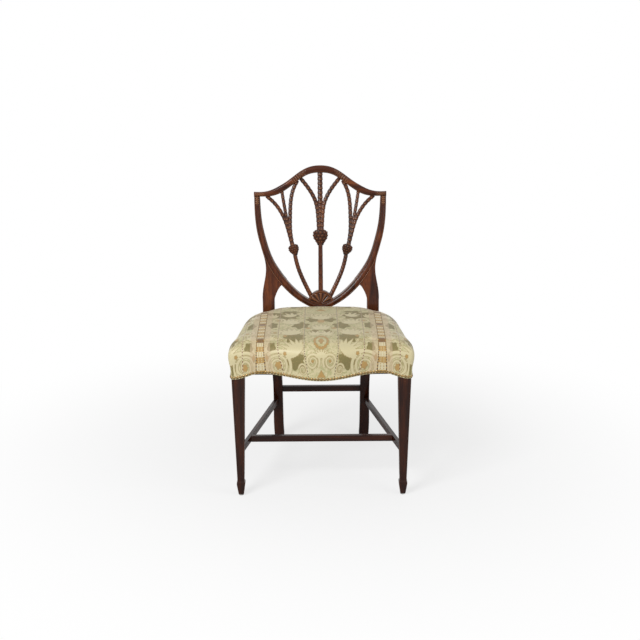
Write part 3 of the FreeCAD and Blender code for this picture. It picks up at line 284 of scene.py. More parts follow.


# %% [markdown]
# ## Polished mahogany
#
# The wood is a dark, red-brown mahogany under French polish. Colour could come from a picture of wood, but
# noise that is stretched along the grain gives figure of any size without one. Two noises are enough: a
# broad one for the bands of the board, and a very fine one for the open pores. Light and shade are also
# painted into the colour: one attribute paints shade into the carved hollows, the wood below the seat is
# darkened as painted shade, and a second attribute paints pale highlights, which also stand for wear, on
# ridges and edges. The gloss is a clear coat.

# %% Helpers for materials
def set_inputs(node, inputs):
    """Join a node's inputs to sockets, or set them to plain numbers and colours. Returns the node."""
    for key, value in inputs.items():
        if isinstance(value, bpy.types.NodeSocket):
            node.id_data.links.new(value, node.inputs[key])
        elif node.inputs[key].type == "RGBA":
            node.inputs[key].default_value = (*value, 1.0)
        else:
            node.inputs[key].default_value = value
    return node


def add_node(kind, inputs, tree=None, **settings):
    """A node with its settings and inputs. It joins the tree that its first input's socket is in."""
    tree = tree or next(value.id_data for value in inputs.values() if isinstance(value, bpy.types.NodeSocket))
    node = tree.nodes.new(kind)
    for key, value in settings.items():
        setattr(node, key, value)
    return set_inputs(node, inputs)


def new_material(name):
    """A material with its surface shader and the place of each point in the room."""
    material = bpy.data.materials.new(name)
    material.use_nodes = True
    tree = material.node_tree
    tree.nodes.clear()
    shader = add_node("ShaderNodeBsdfPrincipled", {}, tree)
    add_node("ShaderNodeOutputMaterial", {"Surface": shader.outputs["BSDF"]})
    return material, shader, add_node("ShaderNodeTexCoord", {}, tree).outputs["Object"]


def noise(place, scale, detail=3.0, roughness=0.5, distortion=0.0):
    """Cloudy noise at a scale, read at a place."""
    inputs = {"Vector": place, "Scale": scale, "Detail": detail, "Roughness": roughness,
              "Distortion": distortion}
    return add_node("ShaderNodeTexNoise", inputs).outputs["Fac"]


def wave(place, direction, scale, distortion):
    """Even waves that follow each other along one direction."""
    return add_node("ShaderNodeTexWave", {"Vector": place, "Scale": scale, "Distortion": distortion},
                    wave_type="BANDS", bands_direction=direction).outputs["Fac"]


def stretched(place, scale):
    """A place with each of its three directions scaled."""
    return add_node("ShaderNodeMapping", {"Vector": place, "Scale": scale}).outputs["Vector"]


def ramp(factor, *stops):
    """Colour ramp with stops given as (place, colour)."""
    node = add_node("ShaderNodeValToRGB", {"Fac": factor})
    elements = node.color_ramp.elements
    while len(elements) < len(stops):
        elements.new(0.5)
    for element, (place, colour) in zip(elements, stops):
        element.position = place
        element.color = (*colour, 1.0)
    return node.outputs["Color"]


def rescaled(value, start, end, low=0.0, high=1.0, kind="LINEAR"):
    """The value run from low to high while it goes from start to end, and held at both ends."""
    inputs = {"Value": value, "From Min": start, "From Max": end, "To Min": low, "To Max": high}
    return add_node("ShaderNodeMapRange", inputs, interpolation_type=kind).outputs["Result"]


def blend_colour(factor, first, second, kind="MIX"):
    """Mix of two colours, by the numbers of the node's sockets for colours."""
    inputs = {0: factor, 6: first, 7: second}
    return add_node("ShaderNodeMix", inputs, data_type="RGBA", blend_type=kind).outputs[2]


def calculate(operation, *values):
    """One step of arithmetic on sockets and numbers."""
    return add_node("ShaderNodeMath", dict(enumerate(values)), operation=operation).outputs[0]


def attribute(socket, name):
    """A named number of the mesh, for the node tree that the socket is in."""
    return add_node("ShaderNodeAttribute", {}, socket.id_data, attribute_name=name).outputs["Fac"]


def relief(height, strength, distance):
    """Normal of a surface that is raised by the height."""
    inputs = {"Height": height, "Strength": strength, "Distance": distance}
    return add_node("ShaderNodeBump", inputs).outputs["Normal"]


white = (1.0, 1.0, 1.0)


# %% Mahogany with its grain along one direction
def mahogany(name, stretch):
    """Polished mahogany whose figure is stretched along the direction with the small scale. Below the seat
    the colour is darkened as painted shade."""
    material, shader, place = new_material(name)
    along = stretched(place, stretch)
    band_scale, pore_scale = 38.0, 420.0
    bands = noise(along, band_scale, 5.0, 0.6, 0.6)
    pores = noise(along, pore_scale, 2.0, 0.6)
    dark, middle, pale = (0.022, 0.0050, 0.0018), (0.082, 0.0185, 0.0044), (0.205, 0.0540, 0.0120)
    colour = ramp(bands, (0.3, dark), (0.5, middle), (0.72, pale))
    pore_shade = ramp(pores, (0.38, (0.45, 0.4, 0.4)), (0.56, white))
    colour = blend_colour(0.6, colour, pore_shade, "MULTIPLY")
    # Painted shade: below the seat, from 0.52 m down to 0.36 m, the colour is darkened to about a third.
    height = add_node("ShaderNodeSeparateXYZ", {"Vector": place}).outputs["Z"]
    under_seat_shade = ramp(height, (0.36, (0.32, 0.27, 0.25)), (0.52, white))
    colour = blend_colour(1.0, colour, under_seat_shade, "MULTIPLY")
    # Painted shade: one attribute darkens the carved hollows towards near black.
    recess_shade = attribute(place, "recess_shade")
    recess_shade_colour, highlight_and_wear_colour = (0.006, 0.003, 0.0025), (0.40, 0.185, 0.085)
    colour = blend_colour(recess_shade, colour, recess_shade_colour)
    # Painted highlight, which also stands for wear: a second attribute lightens ridges and edges to a pale
    # brown.
    colour = blend_colour(attribute(place, "highlight_and_wear"), colour, highlight_and_wear_colour)
    rough = calculate("MULTIPLY_ADD", recess_shade, 0.3, calculate("MULTIPLY_ADD", bands, 0.16, 0.2))
    set_inputs(shader, {"Base Color": colour, "Roughness": rough, "Normal": relief(pores, 0.12, 0.4 * MM),
                        "Specular IOR Level": 0.15, "Coat Weight": 0.22, "Coat Roughness": 0.06})
    return material


wood_upright = mahogany("mahogany_upright", (1.0, 1.0, 0.07))
wood_across = mahogany("mahogany_across", (0.07, 1.0, 1.0))
wood_deep = mahogany("mahogany_deep", (1.0, 0.07, 1.0))
print("mahogany in three grain directions")

# %% [markdown]
# ## Softened edges on the plain pieces
#
# The posts, the rails of the shield and the stretchers keep the joiner's shapes, but no real edge is a
# knife edge: a plane and years of polishing take it off, and that narrow round catches the light. A bevel
# does this. It needs whole flat faces, and the frame's meshes are loose triangles, so a copy is merged and
# its flat triangles are joined before the bevel is put on.

# %% Copy a piece of the frame and round its edges
def softened(name, node, material):
    """A merged copy of a node's mesh with every sharp edge rounded by a narrow bevel."""
    merge_distance, flat_angle = 0.01 * MM, math.radians(0.6)
    edge_width, edge_angle = 0.9 * MM, 32.0
    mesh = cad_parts[node].data.copy()
    mesh.name = name
    bm = bmesh.new()
    bm.from_mesh(mesh)
    bmesh.ops.remove_doubles(bm, verts=bm.verts, dist=merge_distance)
    bmesh.ops.dissolve_limit(bm, angle_limit=flat_angle, verts=bm.verts, edges=bm.edges)
    bm.to_mesh(mesh)
    bm.free()
    mesh.materials.clear()
    smooth(mesh, material, edge_angle)
    made = put_in_scene(name, mesh)
    edge = made.modifiers.new("edge", "BEVEL")
    edge.width = edge_width
    edge.segments = 2
    edge.limit_method = "ANGLE"
    edge.angle_limit = math.radians(edge_angle)
    edge.harden_normals = True
    dress(made, "mahogany", node)


plain_pieces = {
    "right_back_post": wood_upright, "left_back_post": wood_upright, "shield_base_rail": wood_across,
    "lunette": wood_upright, "right_side_stretcher": wood_deep, "left_side_stretcher": wood_deep,
    "cross_stretcher": wood_across, "back_stretcher": wood_across,
}
for node, material in plain_pieces.items():
    softened(node + "_polished", node, material)
print("softened pieces:", len(plain_pieces))

# %% [markdown]
# ## The moulded band of the shield
#
# A bead runs along both edges of the shield's sides and bottom, with a low swelling between them. On the
# real chair a scraper cut to that profile is drawn round the whole band. Here the profile is carried round
# the same curve: at each step a ring of points goes from the outer bead over the swelling to the inner
# bead, and back inside the wood. Near the crest, carved leaves take the moulding's place.

# %% The shield's outline
shield_half_width = 220.0 * MM
shield_corner = 874.0 * MM
shield_bottom = 484.0 * MM
band_end = 857.0 * MM
shield_shares = [(1, 1), (0.994, 0.86), (0.973, 0.71), (0.925, 0.58), (0.855, 0.445), (0.742, 0.317),
                 (0.558, 0.187), (0.37, 0.092), (0.2, 0.034), (0, 0)]
shield_half = half_outline(shield_shares, shield_half_width, shield_bottom, shield_corner)
shield_line = curve_through(both_sides(shield_half), 900)
shield_line = shield_line[shield_line[:, 1] < band_end]


def band_width(z):
    """Width of the band at a height: widest at the shoulder, slimmer to the corner and to the bottom."""
    share = (z - shield_bottom) / (shield_corner - shield_bottom)
    return np.interp(share, [0.0, 0.3, 1.0], [19.0, 24.5, 18.5]) * MM


# %% Carry the moulding round the band
bead_off, groove_off = 0.4, 0.29


def moulding_height(off_middle):
    """Height of the moulding over the wood, by the share of the band's width off its middle: a low arch
    in the middle, a fine groove, and a bead near the edge."""
    beads = np.sqrt(arch(off_middle, bead_off, 0.085))
    return (0.25 + 2.3 * beads + 1.5 * arch(off_middle, 0.0, groove_off)) * MM


def moulded_band(line, inset=0.6 * MM, buried=-1.5 * MM):
    """Rings and carving of the moulding along an outline, from its edge towards the inside of the shield."""
    shield_middle = [0.0, 0.68]
    normal = -side_normals(line)
    normal *= np.sign(np.sum(normal * (shield_middle - line), axis=1))[:, None]
    half = np.r_[np.linspace(0.012, 0.19, 9), np.linspace(0.23, 0.5, 6)]
    across = np.r_[0.0, half, 1.0 - half[-2::-1], 1.0, 0.9, 0.1]
    off_middle = np.abs(across - 0.5)
    height = moulding_height(off_middle)
    height[[0, -3]] = 0.0
    height[-2:] = buried
    leaf_line, leaf_pitch = 824.0 * MM, 6.5 * MM
    leafy = unit((line[:, 1:] - leaf_line) / (10.0 * MM))
    veins = np.abs(np.sin(np.pi * (lengths(line)[:, None] / leaf_pitch + 1.8 * off_middle)))
    leafage = leafy * veins * arch(off_middle, 0.0, 0.44, 4) * (height > buried + 0.5 * MM)
    proud = (1.0 - 0.4 * leafy) * height + 2.2 * MM * leafage
    reach = inset + across * (band_width(line[:, 1:]) - 2 * inset)
    # Painted highlight, which also stands for wear, on the crests of the beads and the leaves; painted shade
    # in the groove and between the leaves.
    glint_and_wear = np.where(across < 0.5, 0.32, 0.22) * bump(off_middle, bead_off, 0.07)
    hollow = 0.75 * bump(off_middle, groove_off, 0.05) + leafy * (1.0 - veins) ** 2 * (off_middle < bead_off)
    values = {"recess_shade": unit(hollow), "highlight_and_wear": (1.0 - leafy) * glint_and_wear + 0.8 * leafage**3}
    return rings_along(line, normal, reach, proud), values


band_grid, band_values = moulded_band(shield_line)
band = tube_surface("shield_moulding", band_grid, wood_upright, band_values, crease=60.0)
dress(band, "mahogany")
print("band moulding:", len(band.data.polygons), "faces")

# %% [markdown]
# ## The crest rail
#
# The crest is an arch with two square shoulders. Its top edge is rounded, a bead runs along its lower edge,
# and leaves are carved where the splats run into it and on the shoulders. It could be cut from a block with
# modifiers, but one formula does the outline, the rounding and the carving together: each step along the
# crest is a rounded ring between the upper and the lower outline.

# %% Outlines of the crest
crest_top = 959.0 * MM
crest_low = 858.0 * MM
crest_inside = 201.4 * MM
crest_height = 24.0 * MM
crest_steps = 721
upper_shares = [(1, 0), (0.855, 0), (0.732, 0.075), (0.623, 0.21), (0.5, 0.4), (0.4, 0.59), (0.27, 0.82),
                (0.145, 0.955), (0, 1)]
under_shares = [(1, 0), (0.85, 0.005), (0.69, 0.1), (0.56, 0.29), (0.37, 0.65), (0.2, 0.92), (0, 1)]
upper_half = half_outline(upper_shares, shield_half_width, shield_corner, crest_top)
under_half = half_outline(under_shares, crest_inside, crest_low, crest_top - crest_height)
under_half = np.concatenate([[(shield_half_width, crest_low)], under_half])
upper_line = curve_through(both_sides(upper_half), crest_steps)
under_line = curve_through(both_sides(under_half), crest_steps)

# %% Carve the crest
def carved_leaf(x, across, middle, reach, pitch, depth):
    """Height of a carved leaf, with painted shade for its hollows and painted highlight for its ridges:
    ridges |sin| that fan out and fade away.
    """
    away = np.abs(x) - middle
    fade = arch(away, 0.0, reach) * arch(across, 0.5, 0.5, 4)
    slant = (across - 0.5) * 12.0 * MM * np.sign(away)
    veins = np.abs(np.sin(np.pi * (away + slant) / pitch))
    return depth * fade * (veins - 0.35), fade * (1.0 - veins) ** 2, fade * veins**4


def crest_rail():
    """Rings along the crest: across and out follow a squared circle, sign(c) |c|^(2/5)."""
    turn = full_turn(112)
    across = 0.5 - 0.5 * squared(np.cos(turn), 0.4)
    out = squared(np.sin(turn), 0.4)
    x, z = ((upper + (under - upper) * across) for upper, under in zip(np.split(upper_line, 2, axis=1),
                                                                      np.split(under_line, 2, axis=1)))
    front = unit(out) ** 3
    bead = np.sqrt(arch(across, 0.87, 0.07))
    inner_leaf, inner_dark, inner_bright = carved_leaf(x, across, 71.0 * MM, 26.0 * MM, 6.2 * MM, 2.6 * MM)
    outer_leaf, outer_dark, outer_bright = carved_leaf(x, across, 202.0 * MM, 20.0 * MM, 5.6 * MM, 2.2 * MM)
    carving = 2.0 * MM * bead + 1.7 * MM * arch(across, 0.42, 0.36) + inner_leaf + outer_leaf
    proud = 0.5 * back_thickness * (out - 1.0) + front * carving
    # Painted shade in the groove over the bead and in the leaves' hollows; painted highlight, which also
    # stands for wear, on the bead and the leaf ridges.
    recess_shade = front * (0.8 * bump(across, 0.775, 0.05) + 0.9 * inner_dark + 0.9 * outer_dark)
    glint_and_wear = front * (0.25 * bump(across, 0.87, 0.06) + 0.5 * inner_bright + 0.7 * outer_bright)
    return on_back(x, z, proud), {"recess_shade": unit(recess_shade), "highlight_and_wear": glint_and_wear}


crest_grid, crest_values = crest_rail()
crest = tube_surface("crest_rail_carved", crest_grid, wood_across, crest_values, crease=70.0)
dress(crest, "mahogany", "crest_rail")
print("crest:", len(crest.data.polygons), "faces")

# %% [markdown]
# ## The splats
#
# Each splat is a stem, a carved bud, and three ribs that spread to the crest. The ribs are covered with
# chains of little bell flowers, one hanging out of the next. A chain could be hundreds of separate pieces,
# but carving is one surface: as the ring moves along a rib, its width and height swell slowly and drop
# sharply, once for each flower, and two grooves part the petals.

# %% Lines of the ribs and stems, in millimetres
centre_bud = 731
side_bud_x, side_bud_z = 90, 687
centre_rib = [(0, centre_bud), (0, 875), (0, 940)]
centre_side_rib = [(4.5, centre_bud + 8), (7, 788), (15.5, 841), (30, 871), (46, 894), (64, 916)]
centre_stem = [(0, 538), (0, 640), (0, centre_bud - 12)]
side_stem = [(29, 522), (55.5, 574.8), (79, 636), (88, side_bud_z - 8)]
side_inner_rib = [(side_bud_x + 2, side_bud_z + 4), (99.5, 735), (100.5, 798), (96, 856),
                  (86.5, 888), (75, 910)]
side_middle_rib = [(101, 730), (112, 785), (119, 823), (124, 853), (128, 880)]
side_outer_rib = [(side_bud_x + 4, side_bud_z + 8), (105, 738), (120, 785), (136, 815),
                  (156, 840), (179, 860)]
splat_depth = 11.0 * MM


# %% Carve a rib
def carved_rib(name, path, width, flower=14.5, rise=1.0, side=1.0, end_share=1.0):
    """Rib: ring k is a squared circle across the line, scaled by a saw that swells along each flower and
    drops at its lip; a groove on each side of the crown parts the petals."""
    line = curve_through(np.array(path) * [side, 1.0] * MM, max(90 * len(path), 200))
    length = lengths(line)[:, None]
    turn = full_turn(40)
    out = squared(np.sin(turn), 0.7)
    phase = np.mod((length[-1] - length) / (flower * MM), 1.0)
    lip = 0.86
    swell = unit(phase / lip) ** 0.8 * unit((1.0 - phase) / (1.0 - lip))
    taper = 1.0 + (end_share - 1.0) * length / length[-1]
    reach = 0.5 * width * MM * taper * (1.0 - 0.17 * rise * (1.0 - swell)) * squared(np.cos(turn), 0.8)
    thickness = 7.0 * MM
    front = unit(out)
    off_crown = np.abs(turn / np.pi - 0.5)
    groove = bump(off_crown, 0.14, 0.1)
    hollow = 0.27 * thickness * (1.0 - swell) + 1.1 * MM * groove * swell**0.7
    proud = thickness * out - splat_depth - rise * hollow * front
    # Painted shade in the petal grooves and under each flower's lip; painted highlight, which also stands for
    # wear, on the crown of each flower.
    recess_shade = unit(0.75 * groove * swell + 0.85 * (1.0 - swell) ** 3) * front * rise
    glint_and_wear = 0.62 * rise * bump(off_crown, 0.0, 0.3) * swell**5
    values = {"recess_shade": recess_shade, "highlight_and_wear": glint_and_wear}
    return tube_surface(name, rings_along(line, side_normals(line), reach, proud), wood_upright, values, 80.0)


# %% Carve a bud
def carved_bud(name, x0, z0, half_width, lean):
    """Bud: half widths run smoothly from the crown to the neck, the depth is a flattened circle, and rows
    of small leaves lie on it like scales: each row is a saw that rises to its tips, and each leaf is an
    arch one minus the square of the place across it, every second row moved by half a leaf."""
    crown, length = 0.74, 2.1
    profile = [(0.05, crown), (0.55, 0.68), (0.89, 0.46), (1, 0.12), (0.97, -0.26), (0.82, -0.62),
               (0.58, -0.96), (0.38, crown - length)]
    half, high = np.split(curve_through(profile, 120), 2, axis=1)
    turn = full_turn(144)
    down = unit((crown - high) / length)
    row_count, leaf_count = 5.0, 11.0
    row = np.maximum(0.93 - down, 0.0) * row_count
    cell = np.mod(turn * leaf_count / (2.0 * np.pi) + 0.25 + 0.5 * np.floor(row), 1.0)
    leaves = arch(cell, 0.5, 0.5) * np.mod(row, 1.0) ** 0.6
    swell = 1.0 + 0.16 * (leaves - 0.6) * unit(np.sin(np.pi * down) * 2.5) + 0.05 * bump(down, 0.96, 0.05)
    size = half_width * MM
    radius = size * half * swell
    depth = min(10.5 * MM, 0.62 * size) * unit(half) ** 0.6 * swell
    local_x, local_z = radius * np.cos(turn), size * high
    x = x0 * MM + math.cos(lean) * local_x + math.sin(lean) * local_z
    z = z0 * MM - math.sin(lean) * local_x + math.cos(lean) * local_z
    grid = on_back(x, z, depth * np.sin(turn) - splat_depth)
    # Painted shade between the small leaves; painted highlight, which also stands for wear, on the leaf tips
    # that face forward.
    values = {"recess_shade": unit(1.1 * (1.0 - leaves) ** 3), "highlight_and_wear": 0.7 * leaves**5 * unit(np.sin(turn))}
    return tube_surface(name, grid, wood_upright, values, crease=80.0)


# %% Make the three splats
def joined_splat(node, pieces):
    """Join the pieces of one splat into a single object that stands for its node."""
    bpy.ops.object.select_all(action="DESELECT")
    for piece in pieces:
        piece.select_set(True)
    bpy.context.view_layer.objects.active = pieces[0]
    bpy.ops.object.join()
    pieces[0].name = node + "_carved"
    pieces[0].data.name = node + "_carved"
    dress(pieces[0], "mahogany", node)


joined_splat("centre_splat", [
    carved_rib("centre_rib", centre_rib, 18.0, flower=15.0),
    carved_rib("centre_rib_right", centre_side_rib, 14.5),
    carved_rib("centre_rib_left", centre_side_rib, 14.5, side=-1.0),
    carved_rib("centre_stem", centre_stem, 16.0, rise=0.2, flower=30.0, end_share=0.9),
    carved_bud("centre_bud", 0.0, centre_bud, 25.0, 0.0),
])
for side, node in ((1.0, "right_splat"), (-1.0, "left_splat")):
    joined_splat(node, [
        carved_rib("inner_rib", side_inner_rib, 14.0, side=side),
        carved_rib("middle_rib", side_middle_rib, 12.0, side=side),
        carved_rib("outer_rib", side_outer_rib, 13.5, side=side),
        carved_rib("stem", side_stem, 15.5, rise=0.6, flower=12.0, side=side, end_share=0.9),
        carved_bud("bud", side * side_bud_x, side_bud_z, 17.5, side * math.radians(18.0)),
    ])
print("splats carved")

# %% [markdown]
# ## The fan on the lower rail
#
# A half-round fan stands where the three stems meet. Its flutes radiate from the middle of its foot, each
# a shallow hollow that widens outward, with a plain rim round them. In polar measure that is simple: the
# height depends on the angle as a row of arches, and fades towards the foot and the rim.

# %% Carve the fan
lunette_radius = 43.0 * MM
lunette_base = shield_bottom + 19.0 * MM


def fan():
    """Fan: height(angle, radius) = rim bead + arches |cos(n angle)| that grow with the radius. Its face
    stands on the back, and its edge goes down into the wood."""
    flute_waves, sunk, buried = 6.5, 3.5 * MM, -1.5 * MM
    angles = np.linspace(math.radians(8.0), math.radians(172.0), 240)[:, None]
    share = np.r_[np.linspace(0.06, 1.0, 34), 1.0, 0.06]
    flutes = np.abs(np.cos(flute_waves * (angles - np.pi / 2)))
    fade = unit(share / 0.25) * unit((0.86 - share) / 0.06)
    rim = np.sqrt(arch(share, 0.93, 0.06))
    height = (0.4 + 2.0 * flutes * fade * share**0.5 + 1.9 * rim) * MM
    height[:, -2:] = buried
    radius = lunette_radius * share
    grid = on_back(radius * np.cos(angles), lunette_base + radius * np.sin(angles), height - sunk)
    # Painted shade between the flutes; painted highlight, which also stands for wear, on the flute crests and
    # the rim.
    return grid, {"recess_shade": unit((1.0 - flutes) ** 2 * fade), "highlight_and_wear": 0.4 * flutes**6 * fade + 0.25 * rim}


fan_grid, fan_values = fan()
dress(tube_surface("lunette_flutes", fan_grid, wood_upright, fan_values, crease=60.0), "mahogany")
print("fan carved")

# %% [markdown]
# ## The front legs
#
# The front legs are square and taper to spade feet. A shallow panel with a raised edge is scraped into each
# face. The ring of such a leg is a square with slightly rounded corners, which is a circle drawn with a high
# power, and the panel is a small step inward that stops above the foot and under the cloth.

# %% Turn a table of widths into a leg
front_leg_x = 252.8 * MM
leg_heights = np.array([4.0, 6.0, 36.0, 39.0, 44.0, 46.5, 50.0, 390.0, 452.0]) * MM
leg_widths = np.array([15.6, 17.0, 25.9, 26.5, 26.0, 23.6, 21.8, 40.0, 40.0]) * MM
panel_low, panel_high, panel_depth = 62.0 * MM, 384.0 * MM, 0.8 * MM
cloth_line = 387.5 * MM


def front_leg(name, node, x0):
    """Leg: at each height the ring is width/2 times the squared circle, less the panel's depth."""
    z = np.unique(np.concatenate([leg_heights, np.linspace(0.004, 0.05, 40), np.linspace(0.05, 0.452, 140),
                                  np.linspace(0.381, 0.392, 12), np.linspace(0.058, 0.07, 10)]))[:, None]
    side = np.r_[np.linspace(-1.0, -0.62, 9), np.linspace(-0.55, 0.55, 7), np.linspace(0.62, 1.0, 9)[:-1]]
    turn = np.concatenate([np.arctan(side) + k * np.pi / 2 for k in range(4)])
    off_middle = np.abs(np.tile(side, 4))
    power = np.where(z > cloth_line, 6.0, 18.0)
    cosine, sine = np.cos(turn), np.sin(turn)
    square = (np.abs(cosine) ** power + np.abs(sine) ** power) ** (-1.0 / power)
    above_foot = unit((z - panel_low) / (4.0 * MM))
    panel = unit((0.74 - off_middle) / 0.1) * above_foot * unit((panel_high - z) / (3.0 * MM))
    reach = 0.5 * np.interp(z, leg_heights, leg_widths) * square - panel_depth * panel
    grid = joined(x0 + reach * cosine, front_line + reach * sine, z)
    # Painted shade along the panel's edge; painted highlight, which also stands for wear, on the corners.
    values = {"recess_shade": 0.55 * unit(1.0 - np.abs(off_middle - 0.70) / 0.06) * above_foot,
              "highlight_and_wear": 0.22 * unit((off_middle - 0.9) / 0.08)}
    dress(tube_surface(name, grid, wood_upright, values, crease=40.0), "mahogany", node)


front_leg("right_front_leg_panelled", "right_front_leg", front_leg_x)
front_leg("left_front_leg_panelled", "left_front_leg", -front_leg_x)
print("front legs at x", front_leg_x)

# %% [markdown]
# ## The shape of the seat
#
# The seat is stuffed over its rails: springy in front, with a rounded shoulder all round and a nearly flat
# crown. Seen from above, its front is a soft wave and its sides are bowed. The cover is made as a stack of
# outlines: the rails' outline at the lower edge, a fuller one above the rails, and smaller ones towards the
# crown. One smooth line is drawn through the stack at every place of the outline.

# %% Plan of the seat in millimetres from the front feet
leg_half = 20.0
leg_inside, leg_middle, leg_outside = 232.8, 252.8, 272.8
leg_corner = 6.0
hollow_place, hollow_depth = 186.0, 2.0
front_swell, side_bow = 34.0, 18.0
post_front, post_outside = 414.0, 195.0
frame_back = 450.0
back_corner = [(179.5, 440), (152, 449), (124.8, frame_back), (62.4, frame_back), (0, frame_back)]
seat_middle = 0.5 * (post_front - leg_half)
seat_half_depth = 217.0


def wave_front(x):
    """Front of the rail: a swell falls as a squared cosine to a shallow hollow beside the leg."""
    share = np.minimum(np.abs(x) / hollow_place, 1.0)
    past = np.maximum(np.abs(x) - hollow_place, 0.0) / (leg_inside - hollow_place)
    return hollow_depth * (1.0 - past) - leg_half - front_swell * np.cos(share * np.pi / 2) ** 2


def side_place(y):
    """Side of the rail: a straight line to the post, bowed outward by a sine of the squared depth."""
    share = unit((y - leg_half) / (post_front - leg_half))
    return leg_outside - (leg_outside - post_outside) * share + side_bow * np.sin(np.pi * share**2)


def seat_outline(columns, front_share=0.45):
    """Closed outline of the seat and its outward normals, with more steps along the front."""
    front_x = leg_inside * np.arange(7) / 6.0
    corner = np.arange(5) * np.pi / 8
    side_y = leg_half + (post_front - leg_half) * np.array([0.0, 0.15, 0.3, 0.45, 0.6, 0.72, 0.84, 0.93, 1.0])
    half = np.concatenate([
        np.stack([front_x, wave_front(front_x)], axis=1), [(leg_middle, -leg_half)],
        np.stack([leg_outside - leg_corner * (1.0 - np.sin(corner)),
                  leg_corner * (1.0 - np.cos(corner)) - leg_half], axis=1),
        [(leg_outside, 0.5 * leg_half)], np.stack([side_place(side_y), side_y], axis=1), back_corner,
    ])
    line = curve_through(np.concatenate([half[4:0:-1] * mirror, half, half[-2:-6:-1] * mirror]), 5000)
    line = line[line[:, 0] >= 0.0]
    length = lengths(line)
    corner_length = length[np.argmin(np.linalg.norm(line - [leg_outside, -leg_half], axis=1))]
    steps = np.interp(np.linspace(0.0, 1.0, columns // 2 + 1), [0.0, front_share, 1.0],
                      [0.0, corner_length, length[-1]])
    right = np.stack([np.interp(steps, length, part) for part in line.T], axis=1)
    right[[0, -1], 0] = 0.0
    outline = np.concatenate([right, right[-2:0:-1] * mirror])
    along = np.roll(outline, -1, axis=0) - np.roll(outline, 1, axis=0)
    along /= np.linalg.norm(along, axis=1)[:, None]
    return outline, np.stack([along[:, 1], -along[:, 0]], axis=1)


edge_middle, edge_arch, edge_leg, edge_side = 392.5, 406.5, 389.0, 398.5
leg_quarter = 0.5 * leg_half
side_rise = 40.0


def cover_edge(x, y):
    """Height of the cover's lower edge: low in the middle and at the legs, with an arch between them."""
    swing = np.sin(np.minimum(np.abs(x) / hollow_place, 1.0) * np.pi / 2) ** 2
    past = unit((np.abs(x) - hollow_place) / (leg_outside - leg_quarter - hollow_place))
    front = np.where(np.abs(x) < hollow_place, edge_middle + (edge_arch - edge_middle) * swing,
                     edge_arch - (edge_arch - edge_leg) * eased(past))
    side = edge_leg + (edge_side - edge_leg) * eased(unit((y + leg_quarter) / side_rise))
    return np.where(y < -leg_quarter, front, side)


# %% Draw the skin over the stack of outlines
cover_outset, full_bulge, back_drop = 2.1, 6.0, 13.0
crown_height = 505.0
# Each level: share of the bulge, scale, height, fall to the back, rounding of the corners, roll behind.
seat_levels = [
    (0, 1, 348, 0, 0, 0), (0, 1, 400, 0, 0, 0), (0.1, 1, 420.8, 0, 0, 0),
    (1, 1, 459.95, 0.2, 0, 0.1), (0.8, 0.994, 478.5, 0.6, 0.01, 0.4), (0, 0.955, 493.3, 0.8, 0.04, 1),
    (0, 0.84, 501.3, 1, 0.07, 0.5), (0, 0.55, crown_height, 1, 0.1, 0),
    (0, 0.3, crown_height, 1, 0.1, 0), (0, 0.03, crown_height, 1, 0.1, 0),
]


def seat_level(outline, outward, bulge, scale, height, fall, rounding, roll):
    """One outline of the stack: moved out by the bulge, drawn towards the middle by the scale, more so at
    the corners, and rolled down behind."""
    x, y = (outline + outward * (cover_outset + full_bulge * bulge)).T
    off_x = np.minimum(np.abs(x) / leg_outside, 1.0)
    off_y = np.minimum(np.abs(y - seat_middle) / seat_half_depth, 1.0)
    near = scale * (1.0 - rounding * (off_x * off_y) ** 4)
    behind = np.maximum((y - seat_middle) / (frame_back - seat_middle), 0.0) ** 3
    new_y = seat_middle + (y - seat_middle) * near * (1.0 - 0.1 * roll * behind)
    level = height - 2.0 * fall * (new_y + leg_half) / post_front - back_drop * roll * behind
    return joined(x * near, new_y, level)


def seat_skin(columns, rows):
    """Points of the cover from its lower edge to the middle of the crown, in millimetres. Between the
    posts the skin is held clear of them."""
    fine, wall = 900, 300
    post_gap, tuck_depth, tuck_width, free_width = 1.0, 12.0, 13.0, 200.0
    outline, outward = seat_outline(columns)
    pins = np.stack([seat_level(outline, outward, *level).ravel() for level in seat_levels])
    dense = curve_through(pins, fine).reshape(fine, -1, 3)
    edge = cover_edge(outline[:, 0], outline[:, 1])
    start = np.interp(edge, dense[:wall, 0, 2], np.arange(wall))
    at = start[None, :] + (fine - 1 - start)[None, :] * rows[:, None]
    low = np.clip(at.astype(int), 0, fine - 2)
    part = (at - low)[..., None]
    column = np.arange(dense.shape[1])[None, :]
    skin = (1.0 - part) * dense[low, column] + part * dense[low + 1, column]
    before_post = post_front - skin[..., 1]
    tuck = tuck_width * unit(before_post / tuck_depth) ** 0.5
    limit = post_outside - post_gap + np.where(before_post < tuck_depth, tuck, free_width)
    skin[..., 0] = np.clip(skin[..., 0], -limit, limit)
    return skin, outline, outward


skin_columns = 640
skin_rows = np.concatenate([np.linspace(0.0, 0.3, 66, endpoint=False), np.linspace(0.3, 1.0, 84)])
skin, outline, outward = seat_skin(skin_columns, skin_rows)
print("seat crown", round(skin[..., 2].max(), 1), "mm, widest", round(skin[..., 0].max(), 1))

# %% [markdown]
# ## Stuff the seat
#
# A stuffed seat isn't a formula: the cloth is pulled tight and the stuffing pushes back, so the crown swells
# most where the cloth is furthest from its nails. A cloth simulation finds that shape. A coarse copy of the
# skin is pinned along its lower edge and at the posts, air pressure takes the stuffing's place, and the
# movement that comes out is limited to a few millimetres and added to the fine skin.

# %% Blow up a coarse copy of the cover
def to_frame(points):
    """Millimetres from the front feet to metres in the frame."""
    return points * MM + np.array([0.0, front_line, 0.0])


wall_top, wall_fade = 415.0, 40.0
post_pin_x, post_pin_y = 150.0, 405.0


